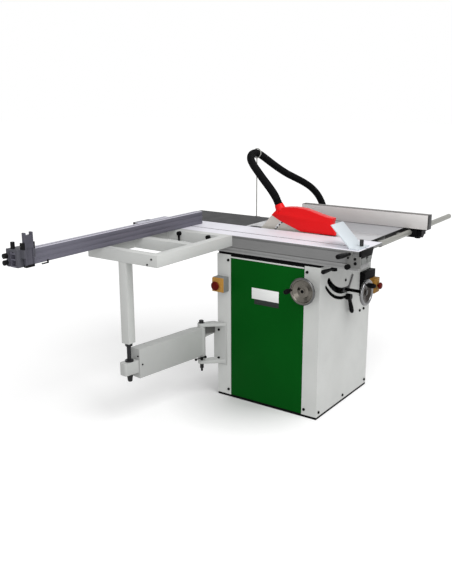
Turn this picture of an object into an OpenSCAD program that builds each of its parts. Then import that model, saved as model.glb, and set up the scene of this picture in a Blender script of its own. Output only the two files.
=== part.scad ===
// Sliding table saw: cabinet, tilting arbor, sliding carriage, outrigger frame and swing arm.
// Millimetres. Origin at the middle of the cabinet's footprint on the floor, +Y to the rear, +Z up.

/* [Cabinet] */
// Cabinet width, left to right
cab_w = 560; // [540:5:600]
// Cabinet depth, front to rear
cab_d = 584; // [570:2:620]
// Cabinet height to the top of its frame
cab_h = 760; // [750:1:770]
// Thickness of the cabinet sheet
sheet = 2; // [1.5:0.5:3]
// Width of the sheet returns beside the side door
return_w = 82; // [76:1:95]
// Height of the base plate
plinth_h = 12; // [8:1:20]
// Diameter of the anchor holes in the base plate
anchor_d = 13; // [9:1:18]

/* [Tables] */
// Height of the table surface above the cabinet
table_h = 100; // [95:1:110]
// Thickness of the cast table plate
plate_t = 12; // [9:1:15]
// Depth of the table rim
rim_h = 38; // [34:1:44]
// Width of the fixed table right of the carriage gap
main_w = 165; // [160:1:180]
// Width of the right extension table
right_w = 475; // [400:5:550]
// Width of the rear extension table
rear_w = 282; // [250:2:300]
// Length of the rear extension table
rear_len = 510; // [400:5:600]
// Diameter of the rip fence rail
rail_d = 28; // [24:1:32]
// Length of the rip fence rail
rail_len = 975; // [850:5:1100]

/* [Saw unit] */
// Blade diameter
blade_d = 315; // [280:1:320]
// Thickness of the blade at its teeth
kerf = 3.2; // [2.6:0.1:3.6]
// Number of blade teeth
teeth = 48; // [24:6:60]
// Diameter of the arbor at the blade
arbor_d = 30; // [25:1:32]
// Blade height above the table
blade_up = 73; // [60:1:80]
// Distance between the arbor and the motor shaft
belt_span = 190; // [180:1:200]
// Diameter of the motor body
motor_d = 160; // [140:2:170]
// Thickness of the riving knife
knife_t = 2.5; // [2:0.1:2.8]
// Width of the blade guard
guard_w = 44; // [38:1:50]
// Wall of the blade guard
guard_wall = 3; // [2:0.5:4]
// Diameter of the handwheels
wheel_d = 132; // [110:2:145]

/* [Carriage] */
// Length of the sliding carriage
carriage_len = 1325; // [1250:5:1400]
// Width of the carriage beam
beam_w = 133; // [125:1:140]
// Thickness of the carriage wing beside the blade
wing_t = 14; // [10:1:16]
// Length of the base rail
base_len = 950; // [900:5:1000]
// Diameter of the rollers between rail and carriage
roller_d = 11.4; // [11:0.1:11.6]

/* [Outrigger] */
// Reach of the outrigger frame to the left of the carriage
frame_w = 570; // [520:5:620]
// Depth of the outrigger frame, front to rear
frame_d = 420; // [380:5:440]
// Height of the frame tubes
tube_h = 54; // [44:1:56]
// Width of the frame tubes
tube_w = 45; // [40:1:50]
// Wall of the frame tubes
tube_t = 3; // [2:0.5:4]
// Length of the post below the frame
post_len = 388; // [370:1:390]

/* [Fences] */
// Height of the crosscut fence
cross_h = 65; // [55:1:70]
// Thickness of the crosscut fence
cross_t = 40; // [36:1:46]
// Length of the crosscut fence
cross_len = 1240; // [1150:5:1300]
// Height of the rip fence
rip_h = 75; // [60:1:90]
// Thickness of the rip fence
rip_t = 45; // [40:1:50]
// Length of the rip fence
rip_len = 730; // [600:5:780]

/* [Dust] */
// Diameter of the rear dust port
port_d = 100; // [80:1:120]
// Outside diameter of the guard hose
hose_d = 42; // [36:1:46]

/* [Clearances] */
// Gap between sliding or resting faces of different bodies
gap = 0.4; // [0.3:0.05:0.6]
// Radial gap of a pin in its bore
pin_gap = 0.1; // [0.05:0.01:0.1]

/* [Hidden] */
$fn = 48;

// Cabinet faces
left_x = -cab_w / 2;
right_x = cab_w / 2;
front_y = -cab_d / 2;
rear_y = cab_d / 2;
frame_t = 12;
over = 1;

// Tables
table_z = cab_h + table_h;
table_l = -20;
seam_x = table_l + main_w;
table_front = front_y - 128;
table_rear = rear_y - 2;
rear_r = table_l + rear_w;
right_r = seam_x + right_w;
insert_l = 4;
insert_r = 40;
insert_f = -232;
insert_b = 272;
insert_t = 6;
ledge = 8;
rail_y = table_front - 30;
rail_z = table_z - 20;
rail_l = 10;

// Saw unit about the tilt axis, which lies along Y in the table surface
blade_y = -10;
blade_z = table_z + blade_up - blade_d / 2;
motor_z = blade_z - belt_span;
trunnion_y = 205;
trunnion_t = 12;
ring_in = 172;
ring_out = 196;
sector_y = -235;
sector_t = 12;
sector_in = 160;
tilt_wheel_z = table_z - 206;
shaft_d = 16;
worm_d = 27;
sector_out = table_z - tilt_wheel_z - worm_d / 2 - gap;
wheel_r = 263;
height_z = table_z - wheel_r;
lock_r = wheel_r + 36;
lock_z = table_z - lock_r;
slot_half = 15;
lock_slot_half = 8;
screw_y = -262;
column_x = 72;
column_y = 135;
column_d = 28;
bush_d = 48;
bush_z0 = table_z - 125;
bush_z1 = table_z - 70;
strap_x0 = 55;
strap_x1 = 92;
cradle_z0 = table_z - 320;
cradle_z1 = table_z - 45;
lug_t = 15;
strap_t = 12;
strap_y = trunnion_y - trunnion_t / 2 - 1;
beam_x0 = 15;
knife_arm_y0 = 158;
knife_arm_y1 = strap_y - strap_t - 3;
belt_x0 = 65;
belt_x1 = 91;
arbor_pulley_d = 70;
motor_pulley_d = 100;
belt_t = 6;
motor_x = 101;
motor_len = 160;
housing_x0 = 14;
housing_x1 = 60;
housing_d = 64;
flange_d = 64;
flange_t = 8;
pivot_y = 100;
pivot_z = table_z + 85;
pivot_d = 8;

// Carriage, which slides along Y on the base rail
beam_l = left_x;
beam_r = beam_l + beam_w;
wing_r = table_l - 10;
carriage_f = -480;
carriage_b = carriage_f + carriage_len;
skirt_z = table_z - 60;
track_z = table_z - 52;
rail_top = track_z - roller_d - 2 * 0.3;
rail_z0 = cab_h + 10;
rib_x = -215;
stem_w = 12;
head_w = 27;
stem_z = table_z - 43;
head_z = table_z - 33;
slot_x = -190;
slot_w = 10;
base_l = beam_l + 8;
base_r = beam_r - 11;
cage_y0 = -140;
cage_len = 590;
cage_pitch = 59;

// Outrigger, swing arm and post
frame_r = beam_l;
frame_l = frame_r - frame_w;
frame_f = 200;
frame_b = frame_f + frame_d;
frame_z = table_z - tube_h;
mid_x = frame_r - frame_w * 0.521;
post_x = frame_l + tube_w / 2;
post_y = 408;
post_z = frame_z - post_len;
hinge_x = -355;
hinge_y = 342;
hinge_d = 20;
arm_angle = atan2(post_y - hinge_y, post_x - hinge_x);
arm_reach = norm([post_x - hinge_x, post_y - hinge_y]);
arm_w = 60;
arm_z0 = post_z - 182;
arm_z1 = post_z - 38;
inner_w = 46;
inner_z0 = post_z - 152;
inner_z1 = post_z - 92;
barrel_d = 40;
barrel_z0 = post_z - 216;
barrel_z1 = post_z - 34;
outer_len = arm_reach - 37;
foot_z = inner_z1 + gap;

// Switches
estop_z = table_z - 251;
switch_x = 238;
switch_z = table_z - 286;

// Handwheels
rim_d = 16;
grip_r = wheel_d / 2 - rim_d / 2;
grip_seat = 11;

// Fences
cross_y = 520;
cross_z = table_z + 1;
cross_r = -100;
cross_l = cross_r - cross_len;
block_l = cross_l - 5;
block_len = 115;
flip_y = 492;
flip_z = table_z + 95;
flip_t = 16;
flip_w = 44;
flip_x = block_l + 58;
rip_x = 375;
rip_z = table_z + 2;
rip_y = -550;
carrier_x0 = rip_x + 6;
carrier_x1 = rip_x + 136;
carrier_y0 = rail_y - 40;
carrier_y1 = rail_y + 17;
carrier_z0 = rail_z - 24;
carrier_z1 = table_z + 1;

// Hose route from the table's height: from the guard port over the hanger ring, then down to the side spigot
hose_points = [[0, 105, 126], [0, 115, 145], [0, 125, 163], [16, 156, 188], [40, 198, 214], [68, 248, 244],
    [98, 298, 274], [130, 346, 302], [168, 388, 328], [212, 412, 347], [260, 420, 353], [310, 420, 342],
    [365, 414, 314], [420, 404, 282], [475, 391, 250], [530, 372, 218], [585, 349, 190], [635, 318, 160],
    [675, 284, 124], [702, 254, 78], [716, 230, 22], [718, 214, -36], [706, 206, -94], [680, 202, -148],
    [642, 200, -198], [594, 200, -242], [540, 200, -278], [484, 200, -308], [430, 200, -332],
    [382, 200, -349], [342, 200, -355], [320, 200, -355], [300, 200, -355]];
hose_path = [for (p = hose_points) p + [0, 0, table_z]];
hose_split = 10;
hose_last = len(hose_path) - 1;
hose_top = hose_path[hose_split];
port_lean = 28;
rib_h = 1.8;
hose_wall = 1.6;
hose_sides = 8;
guard_ribs = 56;
drop_ribs = 144;
spigot_d = 36;
spigot_y = hose_path[hose_last][1];
spigot_z = hose_path[hose_last][2];
spigot_end = hose_path[hose_last][0];
port_z = 170;
port_len = 48;

// Shapes that repeat
module box(x0, x1, y0, y1, z0, z1) {
    translate([x0, y0, z0]) cube([x1 - x0, y1 - y0, z1 - z0]);
}
module along_x(x0, x1) {
    translate([x0, 0, 0]) rotate([90, 0, 90]) linear_extrude(x1 - x0) children();
}
module along_y(y0, y1) {
    translate([0, y1, 0]) rotate([90, 0, 0]) linear_extrude(y1 - y0) children();
}
module along_z(z0, z1) {
    translate([0, 0, z0]) linear_extrude(z1 - z0) children();
}
module rod_x(x0, x1, y, z, d) {
    translate([x0, y, z]) rotate([0, 90, 0]) cylinder(d = d, h = x1 - x0);
}
module rod_y(y0, y1, x, z, d) {
    translate([x, y0, z]) rotate([-90, 0, 0]) cylinder(d = d, h = y1 - y0);
}
module rod_z(z0, z1, x, y, d) {
    translate([x, y, z0]) cylinder(d = d, h = z1 - z0);
}
// Rectangle in the plane of an extrusion
module rect(u0, u1, v0, v1) {
    translate([u0, v0]) square([u1 - u0, v1 - v0]);
}
// Ring sector about the tilt axis; angles run from straight down, positive towards the carriage
module tilt_arc(r0, r1, a0, a1) {
    translate([0, table_z]) intersection() {
        difference() {
            circle(r1, $fn = 96);
            circle(r0, $fn = 96);
        }
        polygon([[0, 0], for (k = [0:4]) let (a = a0 + (a1 - a0) * k / 4) 1.3 * r1 * [-sin(a), -cos(a)]]);
    }
}
// Rounded slot end on a tilt arc
module tilt_spot(r, a, d) {
    translate([-r * sin(a), table_z - r * cos(a)]) circle(d = d);
}
module tilt_slot(r, half, a0, a1) {
    tilt_arc(r - half, r + half, a0, a1);
    tilt_spot(r, a0, 2 * half);
    tilt_spot(r, a1, 2 * half);
}
// Handwheel along +Z: rim, dished web, hub and the seat of its grip
module wheel_body(grip_angle) {
    rotate_extrude($fn = 72) translate([wheel_d / 2 - rim_d / 2, 0]) circle(d = rim_d, $fn = 32);
    rotate_extrude($fn = 72) polygon([[0, -20], [17, -20], [17, -8], [30, -10], [wheel_d / 2 - rim_d, -3],
        [wheel_d / 2 - rim_d / 2, -3], [wheel_d / 2 - rim_d / 2, 3], [wheel_d / 2 - rim_d, 3],
        [30, -5], [14, -2], [14, 2], [0, 2]]);
    rotate(grip_angle) translate([grip_r, 0, 0]) cylinder(d = 14, h = grip_seat);
}
// Crank grip along +Z: turned handle on its stem
module crank_grip() {
    rotate_extrude() polygon([[0, 0], [5, 0], [5, 6], [9, 8], [12, 20], [12.5, 34], [10, 46], [6, 50], [0, 50]]);
}
// Mushroom push button along +Z, stem below
module mushroom(stem, stem_d, head_d) {
    rotate_extrude() polygon([[0, -stem], [stem_d / 2, -stem], [stem_d / 2, 0], [head_d / 2 - 4, 0],
        [head_d / 2, 5], [head_d / 2, 9], [head_d / 2 - 4, 14], [8, 16], [0, 16]]);
}
// Diagonal stay under a table, drawn as outward distance and height
module stay_profile(reach, top, bottom, bar) {
    polygon([[0, bottom], [0, bottom + bar * 1.6], [reach - bar * 1.6, top], [reach, top]]);
}

// Hose: one tube swept along a smooth curve through hand-chosen points
function span(i) = norm(hose_path[i + 1] - hose_path[i]);
function run_to(i) = i == 0 ? 0 : run_to(i - 1) + span(i - 1);
function place_at(s, i = 0) = s <= span(i) || i == hose_last - 1 ? i + s / span(i) : place_at(s - span(i), i + 1);
function curve_at(u) =
    let (p = hose_path, i = max(0, min(floor(u), hose_last - 1)), t = u - i,
        a = p[max(i - 1, 0)], b = p[i], c = p[i + 1], d = p[min(i + 2, hose_last)])
    0.5 * (2 * b + (c - a) * t + (2 * a - 5 * b + 4 * c - d) * t * t + (3 * b - a - 3 * c + d) * t * t * t);
function unit(v) = v / norm(v);
function curve_dir(u) = unit(curve_at(min(u + 0.002, hose_last)) - curve_at(max(u - 0.002, 0)));
function hose_ring(s, r) =
    let (u = place_at(s), t = curve_dir(u), n = unit(cross(t, [0, 1, 0])), b = cross(n, t), o = curve_at(u))
    [for (k = [0:hose_sides - 1]) let (a = 360 * k / hose_sides) o + r * (cos(a) * n + sin(a) * b)];
function strip(a, b, flip) = [for (k = [0:hose_sides - 1]) let (m = (k + 1) % hose_sides)
    each flip ? [[a + k, b + k, a + m], [b + k, b + m, a + m]] : [[a + k, a + m, b + k], [a + m, b + m, b + k]]];
module ribbed_hose(first, last, ribs) {
    rings = 2 * ribs;
    bores = ribs / 2;
    s0 = run_to(first);
    run = run_to(last) - s0;
    outer = [for (i = [0:rings]) each hose_ring(s0 + run * i / rings, hose_d / 2 - (i % 2 == 0 ? rib_h : 0))];
    inner = [for (i = [0:bores]) each hose_ring(s0 + run * i / bores, hose_d / 2 - rib_h - hose_wall)];
    s = hose_sides;
    base = s * (rings + 1);
    polyhedron(concat(outer, inner), concat(
        [for (i = [0:rings - 1]) each strip(s * i, s * (i + 1), true)],
        [for (i = [0:bores - 1]) each strip(base + s * i, base + s * (i + 1), false)],
        strip(0, base, false),
        strip(s * rings, base + s * bores, true)));
}

// Cabinet
module base_plinth() color("#2b2b2b") difference() {
    edge = 0.8;
    border = 80;
    floor_t = 3;
    box(left_x + edge, right_x - edge, front_y + edge, rear_y - edge, 0, plinth_h);
    box(left_x + border, right_x - border, front_y + border, rear_y - border, floor_t, plinth_h + over);
    for (x = [left_x + border / 2, right_x - border / 2], y = [front_y + border / 2, rear_y - border / 2])
        rod_z(-over, plinth_h + over, x, y, anchor_d);
}
module sheet_return(x, y0, y1) {
    box(x, x + sheet, y0, y1, plinth_h, cab_h);
}
module front_panel() color("#d3d4d0") difference() {
    union() {
        box(left_x, right_x, front_y, front_y + sheet, plinth_h, cab_h);
        sheet_return(left_x, front_y, front_y + return_w);
        sheet_return(right_x - sheet, front_y, front_y + return_w);
    }
    along_y(front_y - over, front_y + sheet + over) {
        tilt_slot(wheel_r, slot_half, -5, 47);
        tilt_slot(lock_r, lock_slot_half, -2, 47);
    }
    rod_x(left_x - over, left_x + sheet + over, sector_y, tilt_wheel_z, shaft_d + 2);
}
module rear_panel() color("#d3d4d0") difference() {
    union() {
        box(left_x, right_x, rear_y - sheet, rear_y, plinth_h, cab_h);
        sheet_return(left_x, rear_y - return_w, rear_y);
        sheet_return(right_x - sheet, front_y + return_w, rear_y);
    }
    rod_y(rear_y - sheet - over, rear_y + over, 0, port_z, port_d - 4);
    rod_x(right_x - sheet - over, right_x + over, spigot_y, spigot_z, spigot_d - 4);
}
module side_door() color("#0a5a1c") {
    door_top = cab_h - frame_t - 2;
    face_y = cab_d / 2 - return_w - 2;
    box(left_x, left_x + sheet, -face_y, face_y, plinth_h + 2, door_top);
    box(left_x + sheet, left_x + 2 * sheet, -face_y - 16, face_y + 16, plinth_h + 2, door_top);
}
module panel_screws() color("#1c1c1c") {
    head_d = 14;
    head_t = 6;
    strip_y = cab_d / 2 - return_w + 14;
    for (y = [-strip_y, strip_y], z = [plinth_h + 28, cab_h - 28])
        rod_x(left_x - head_t, left_x, y, z, head_d);
    for (x = [left_x + 22, 0, right_x - 22])
        rod_y(front_y - head_t, front_y, x, plinth_h + 22, head_d);
    for (x = [163, 209])
        rod_y(front_y - head_t, front_y, x, cab_h - 312, head_d);
}
module top_frame() color("#202020") {
    difference() {
        box(left_x + sheet, right_x - sheet, front_y + sheet, rear_y - sheet, cab_h - frame_t, cab_h);
        box(-165, 130, -trunnion_y + 15, trunnion_y - 15, cab_h - frame_t - over, cab_h + over);
        box(-130, 130, -250, 262, cab_h - frame_t - over, cab_h + over);
        box(-150, 40, front_y + 8, -249, cab_h - frame_t - over, cab_h + over);
    }
    // Seat of the base rail
    box(base_l + 4, base_r - 4, front_y + sheet, rear_y - sheet, cab_h, rail_z0);
}

// Fixed half of the tilt mechanism: two half rings under the frame, the front one with the worm bearings
module trunnion_brackets() color("#5d5f60") difference() {
    bearing_x = 46;
    bearing_len = 12;
    union() {
        for (y = [-trunnion_y, trunnion_y])
            along_y(y - trunnion_t / 2, y + trunnion_t / 2) intersection() {
                tilt_arc(ring_in, ring_out, -60, 60);
                rect(-250, 250, 0, cab_h - frame_t);
            }
        for (x = [-bearing_x - bearing_len, bearing_x]) {
            box(x, x + bearing_len, sector_y - worm_d / 2, sector_y + sector_t / 2 + 3,
                tilt_wheel_z - worm_d / 2, tilt_wheel_z + 12);
            box(x, x + bearing_len, sector_y + sector_t / 2 + 3, -trunnion_y + trunnion_t / 2,
                tilt_wheel_z - worm_d / 2, tilt_wheel_z + 34);
        }
    }
    rod_x(-bearing_x - bearing_len - over, bearing_x + bearing_len + over, sector_y, tilt_wheel_z,
        shaft_d + 2 * pin_gap);
}

// Tables
module main_table() color("#b9babd") {
    difference() {
        union() {
            box(table_l, seam_x, table_front, table_rear, table_z - plate_t, table_z);
            box(table_l, seam_x, table_front, table_front + 12, table_z - rim_h, table_z);
            box(seam_x - 12, seam_x, table_front, table_rear, table_z - rim_h, table_z);
            box(table_l, table_l + 12, table_front, insert_f, table_z - rim_h, table_z);
            for (x = [25, 80])
                box(x, x + 8, table_front, insert_f, table_z - rim_h + 6, table_z);
            box(insert_r + 4, insert_r + 12, insert_f, insert_b, table_z - rim_h + 8, table_z);
        }
        box(table_l - over, insert_r, insert_f, insert_b, table_z - insert_t, table_z + over);
        box(table_l - over, insert_r - ledge, insert_f + ledge, insert_b - ledge, 0, table_z);
    }
    box(60, 128, front_y + 4, front_y + 38, cab_h, table_z - plate_t);
    box(132, seam_x, 150, 262, cab_h, table_z - plate_t);
    box(0, 128, 266, table_rear, cab_h, table_z - plate_t);
}
module table_insert() color("#9a9ca0") difference() {
    box(insert_l, insert_r - 0.3, insert_f + 0.3, insert_b - 0.3, table_z - insert_t, table_z);
    for (y = [insert_f + 20, insert_b - 20])
        rod_z(table_z - insert_t - over, table_z + over, 22, y, 7);
}
module table_tray(x0, x1, y0, y1, t, rim, rib_count) {
    box(x0, x1, y0, y1, table_z - t, table_z);
    for (x = [x0, x1 - 8])
        box(x, x + 8, y0, y1, table_z - rim, table_z);
    for (y = [y0, y1 - 8])
        box(x0, x1, y, y + 8, table_z - rim, table_z);
    for (k = [1:rib_count])
        box(x0, x1, y0 + (y1 - y0) * k / (rib_count + 1) - 3, y0 + (y1 - y0) * k / (rib_count + 1) + 3,
            table_z - rim + 6, table_z);
}
module right_extension() color("#a9abae") {
    table_tray(seam_x, right_r, table_front, table_rear, 8, rim_h, 4);
    for (k = [2, 4]) {
        y = table_front + (table_rear - table_front) * k / 5;
        along_y(y - 4, y + 4) translate([right_x, 0])
            stay_profile(right_r - right_x - 60, table_z - rim_h + 7, table_z - 250, 18);
    }
}
module rear_extension() color("#4d4e50") {
    table_tray(table_l, rear_r, table_rear, table_rear + rear_len, 5, 30, 3);
    for (x = [60, 200])
        along_x(x, x + 8) translate([rear_y, 0])
            stay_profile(rear_len * 0.75 + 12, table_z - 30 + 7, table_z - 260, 18);
}
module rip_rail() color("#c9cacc") {
    rod_x(rail_l, rail_l + rail_len, rail_y, rail_z, rail_d);
    for (x = [70, 300, 560])
        box(x - 12, x + 12, rail_y, table_front, rail_z - 9, rail_z + 7);
}

// Sliding guide
module base_rail() color("#b5b7ba") difference() {
    along_y(-base_len / 2, base_len / 2) {
        rect(base_l, base_r, rail_z0, rail_top);
        rect(rib_x - stem_w / 2 + gap, rib_x + stem_w / 2 - gap, rail_top - over, stem_z + over);
        rect(rib_x - head_w / 2 + gap, rib_x + head_w / 2 - gap, stem_z + gap, head_z - over);
    }
    // Hollow behind the front end plate
    along_y(-base_len / 2 + 4, base_len / 2 + over) {
        rect(base_l + 5, rib_x - 8, rail_z0 + 5, rail_top - 5);
        rect(rib_x + 8, base_r - 5, rail_z0 + 5, rail_top - 5);
        rect(base_l - over, base_l + 3, rail_z0 + 10, rail_z0 + 16);
    }
    rod_z(rail_z0 - over, rail_z0 + 15, rib_x, -330, 10 + 2 * pin_gap);
}
module carriage_profile() difference() {
    union() {
        rect(beam_l, beam_r, skirt_z, table_z);
        rect(beam_r - over, wing_r, table_z - wing_t, table_z);
    }
    rect(beam_l + 6, beam_r - 6, skirt_z - over, track_z);
    rect(rib_x - stem_w / 2, rib_x + stem_w / 2, track_z - over, stem_z + gap);
    rect(rib_x - head_w / 2, rib_x + head_w / 2, stem_z, head_z);
    rect(beam_l + 7, rib_x - head_w / 2 - 5, track_z + 7, table_z - 22);
    rect(rib_x + head_w / 2 + 5, beam_r - 7, track_z + 7, table_z - 22);
    rect(slot_x - slot_w / 2, slot_x + slot_w / 2, table_z - 6, table_z + over);
    rect(slot_x - slot_w, slot_x + slot_w, table_z - 15, table_z - 6);
    rect(beam_l - over, beam_l + 4, table_z - 13, table_z - 6);
}
module carriage() color("#c3c2cc") along_y(carriage_f, carriage_b) carriage_profile();
module carriage_caps() color("#1b1b1b") {
    low = rail_top + 2;
    cap = [[beam_l, table_z], [beam_r, table_z], [beam_r - 26, low], [beam_l + 8, low]];
    for (y = [carriage_f - 12, carriage_b])
        along_y(y, y + 12) difference() {
            polygon(cap);
            rect(rib_x - stem_w / 2, rib_x + stem_w / 2, low - over, stem_z + gap);
            rect(rib_x - head_w / 2, rib_x + head_w / 2, stem_z, head_z);
        }
}
module carriage_handle() color("#1f1f1f") {
    plate_y = carriage_f - 12;
    plate_z = skirt_z - 15;
    bar_y = carriage_f + 40;
    box(beam_l - 10, beam_l, plate_y, plate_y + 64, plate_z, plate_z + 51);
    box(beam_l - 10, beam_l, bar_y - 11, bar_y + 11, plate_z + 50, table_z - 3);
    translate([beam_l - 9, bar_y, table_z - 13]) rotate([0, -86, 0])
        rotate_extrude() polygon([[0, 0], [7, 0], [7, 24], [9, 34], [12, 78], [11, 116], [6, 124], [0, 124]]);
    // Clamp knob and bolt heads
    rod_x(beam_l - 26, beam_l - 9, plate_y + 56, plate_z + 4, 24);
    for (b = [[58, 44, 9], [24, 42, 12], [22, 22, 14]])
        rod_x(beam_l - 14, beam_l - 9, plate_y + b[0], plate_z + b[1], b[2]);
}
module roller_cage() color("#8b6f3a") {
    z = (rail_top + track_z) / 2;
    for (side = [[base_l + 3, rib_x - stem_w / 2 - 2], [rib_x + stem_w / 2 + 2, base_r - 3]]) {
        box(side[0], side[1], cage_y0, cage_y0 + cage_len, z - 1.5, z + 1.5);
        for (k = [0:cage_len / cage_pitch - 1])
            rod_x(side[0] + 2, side[1] - 2, cage_y0 + (k + 0.5) * cage_pitch, z, roller_d);
    }
}

// Outrigger
module frame_tubes(inset) {
    for (y = [frame_f, frame_b - tube_w])
        box(frame_l + inset, frame_r - (inset > 0 ? -over : 0), y + inset, y + tube_w - inset, frame_z + inset,
            table_z - inset);
    for (x = [frame_l, mid_x, frame_r - tube_w])
        box(x + inset, x + tube_w - inset, frame_f + tube_w / 2, frame_b - tube_w / 2, frame_z + inset,
            table_z - inset);
}
module outrigger_frame() color("#bfc1be") difference() {
    frame_tubes(0);
    frame_tubes(tube_t);
}
module outrigger_post() color("#b4b6b3") difference() {
    box(post_x - tube_w / 2, post_x + tube_w / 2, post_y - tube_w / 2, post_y + tube_w / 2, post_z, frame_z);
    box(post_x - tube_w / 2 + tube_t, post_x + tube_w / 2 - tube_t, post_y - tube_w / 2 + tube_t,
        post_y + tube_w / 2 - tube_t, post_z + 6, frame_z + over);
    rod_z(post_z - over, post_z + 7, post_x, post_y, 22);
}
module post_screw() color("#1c1c1c") {
    rod_z(foot_z, post_z + 40, post_x, post_y, 20);
    rod_z(foot_z, foot_z + 7, post_x, post_y, 40);
    translate([post_x, post_y, post_z - 15]) cylinder(d = 36, h = 15, $fn = 6);
}
module clamp_lever(y) color("#161616") {
    hub_x = frame_r - tube_w;
    z = table_z - 14;
    rod_x(hub_x - 16, hub_x - gap, y, z, 22);
    translate([hub_x - 10, y, z]) rotate([180, 0, 0])
        rotate_extrude() polygon([[0, 0], [6, 0], [5, 30], [8, 50], [8, 60], [4, 66], [0, 66]]);
}
module clamp_lever_front() clamp_lever(310);
module clamp_lever_rear() clamp_lever(494);

// Swing arm, drawn along +X from the hinge
module arm_frame() {
    translate([hinge_x, hinge_y, 0]) rotate([0, 0, arm_angle]) children();
}
module arm_bracket() color("#c9cac6") {
    box(left_x - 8, left_x, rear_y - 58, rear_y, barrel_z0 - 30, barrel_z1 + 8);
    for (z = [[barrel_z0 - 18, barrel_z0 - gap], [barrel_z1 + gap, barrel_z1 + 16]])
        along_z(z[0], z[1]) {
            translate([hinge_x, hinge_y]) circle(d = barrel_d);
            polygon([[left_x - 4, rear_y - 56], [left_x - 4, rear_y], [hinge_x + 10, hinge_y + 17],
                [hinge_x - 12, hinge_y - 16]]);
        }
    rod_z(barrel_z0 - 45, barrel_z1 + 20, hinge_x, hinge_y, hinge_d);
    rod_z(barrel_z1 + 15, barrel_z1 + 19, hinge_x, hinge_y, 34);
    rod_z(barrel_z1 + 18, barrel_z1 + 32, hinge_x, hinge_y, 24);
}
module arm_outer() color("#c2c4c1") arm_frame() difference() {
    union() {
        rod_z(barrel_z0, barrel_z1, 0, 0, barrel_d);
        box(10, outer_len, -arm_w / 2, arm_w / 2, arm_z0, arm_z1);
    }
    rod_z(barrel_z0 - over, barrel_z1 + over, 0, 0, hinge_d + 2 * pin_gap);
    box(barrel_d / 2 + 14, outer_len + over, -inner_w / 2 - gap, inner_w / 2 + gap, inner_z0 - gap,
        inner_z1 + gap);
}
module arm_inner() color("#b9bbb8") arm_frame() {
    inner_start = barrel_d / 2 + 18;
    round_r = 12;
    difference() {
        along_z(inner_z0, inner_z1) {
            rect(inner_start, arm_reach + 44 - round_r, -inner_w / 2, inner_w / 2);
            rect(arm_reach, arm_reach + 44, -inner_w / 2 + round_r, inner_w / 2 - round_r);
            for (v = [-inner_w / 2 + round_r, inner_w / 2 - round_r])
                translate([arm_reach + 44 - round_r, v]) circle(round_r);
        }
        box(inner_start - over, outer_len, -inner_w / 2 + tube_t, inner_w / 2 - tube_t, inner_z0 + tube_t,
            inner_z1 - tube_t);
    }
    // Knob of the foot's locking screw
    translate([arm_reach, 0, inner_z0 - 40]) rotate_extrude()
        polygon([[0, 0], [9, 0], [11, 3], [14, 26], [13, 32], [7, 33], [7, 41], [0, 41]]);
}

// Tilting cradle and its columns
module tilt_cradle() color("#6f7274") {
    union() {
        for (s = [0, 1]) mirror([0, s, 0]) {
            along_y(strap_y - strap_t, trunnion_y + trunnion_t / 2) tilt_arc(150, ring_in - gap, -45, -13);
            box(strap_x0, strap_x1, strap_y - strap_t, strap_y, cradle_z0, cradle_z1);
            box(strap_x0 - 5, strap_x1 - 2, column_y - 22, strap_y, cradle_z1 - lug_t, cradle_z1);
            box(beam_x0, strap_x1 - 2, column_y - 22, strap_y, cradle_z0, cradle_z0 + lug_t);
        }
        // Cross-beam, left of the motor pulley
        box(beam_x0, strap_x0 - 5, -strap_y, strap_y, cradle_z0, cradle_z0 + lug_t);
    }
}
module lift_columns() color("#d0d2d4") {
    for (y = [-column_y, column_y])
        rod_z(cradle_z0 + lug_t, cradle_z1 - lug_t, column_x, y, column_d);
}
module tilt_sector() color("#55585a") {
    tooth = 3.2;
    along_y(sector_y - sector_t / 2, sector_y + sector_t / 2) difference() {
        tilt_arc(sector_in, sector_out, -48, 3);
        for (a = [-47:1.6:2])
            translate([0, table_z]) rotate(-90 - a) translate([sector_out - 3.5, -tooth / 2]) square([8, tooth]);
    }
    along_y(sector_y + sector_t / 2, -trunnion_y - trunnion_t / 2) tilt_arc(sector_in, ring_in - 1, -44, -14);
}
module control_bracket() color("#7d8082") {
    plate_y = front_y + sheet + 4;
    difference() {
        union() {
            box(-22, strap_x1 - 2, plate_y, plate_y + 4, lock_z - 16, height_z + 20);
            box(strap_x0 + 5, strap_x1 - 2, plate_y, -strap_y, cradle_z0, cradle_z0 + lug_t);
            rod_y(plate_y - 2, plate_y + 5, 0, height_z, 24);
        }
        rod_y(plate_y - 9, plate_y + 14, 0, height_z, shaft_d + 2 * pin_gap);
        rod_y(plate_y - 9, plate_y + 14, 0, lock_z, 10 + 2 * pin_gap);
    }
    // Pointer on its stem, in front of the panel
    box(13, 19, front_y - 4, plate_y + 1, height_z - 8, height_z - 2);
    along_y(front_y - 4, front_y - 2) translate([0, height_z])
        polygon([[13, -8], [19, -8], [30, 4], [70, 62], [58, 68], [13, 6]]);
}
module lift_screw() color("#a8aaac") {
    rod_z(height_z + 16, cradle_z1 - 6, 0, screw_y, 16);
    translate([0, screw_y, height_z]) rotate_extrude()
        polygon([[0, 9], [9 - gap, 9], [16 - gap, 16], [16 - gap, 19], [0, 19]]);
}

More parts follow.
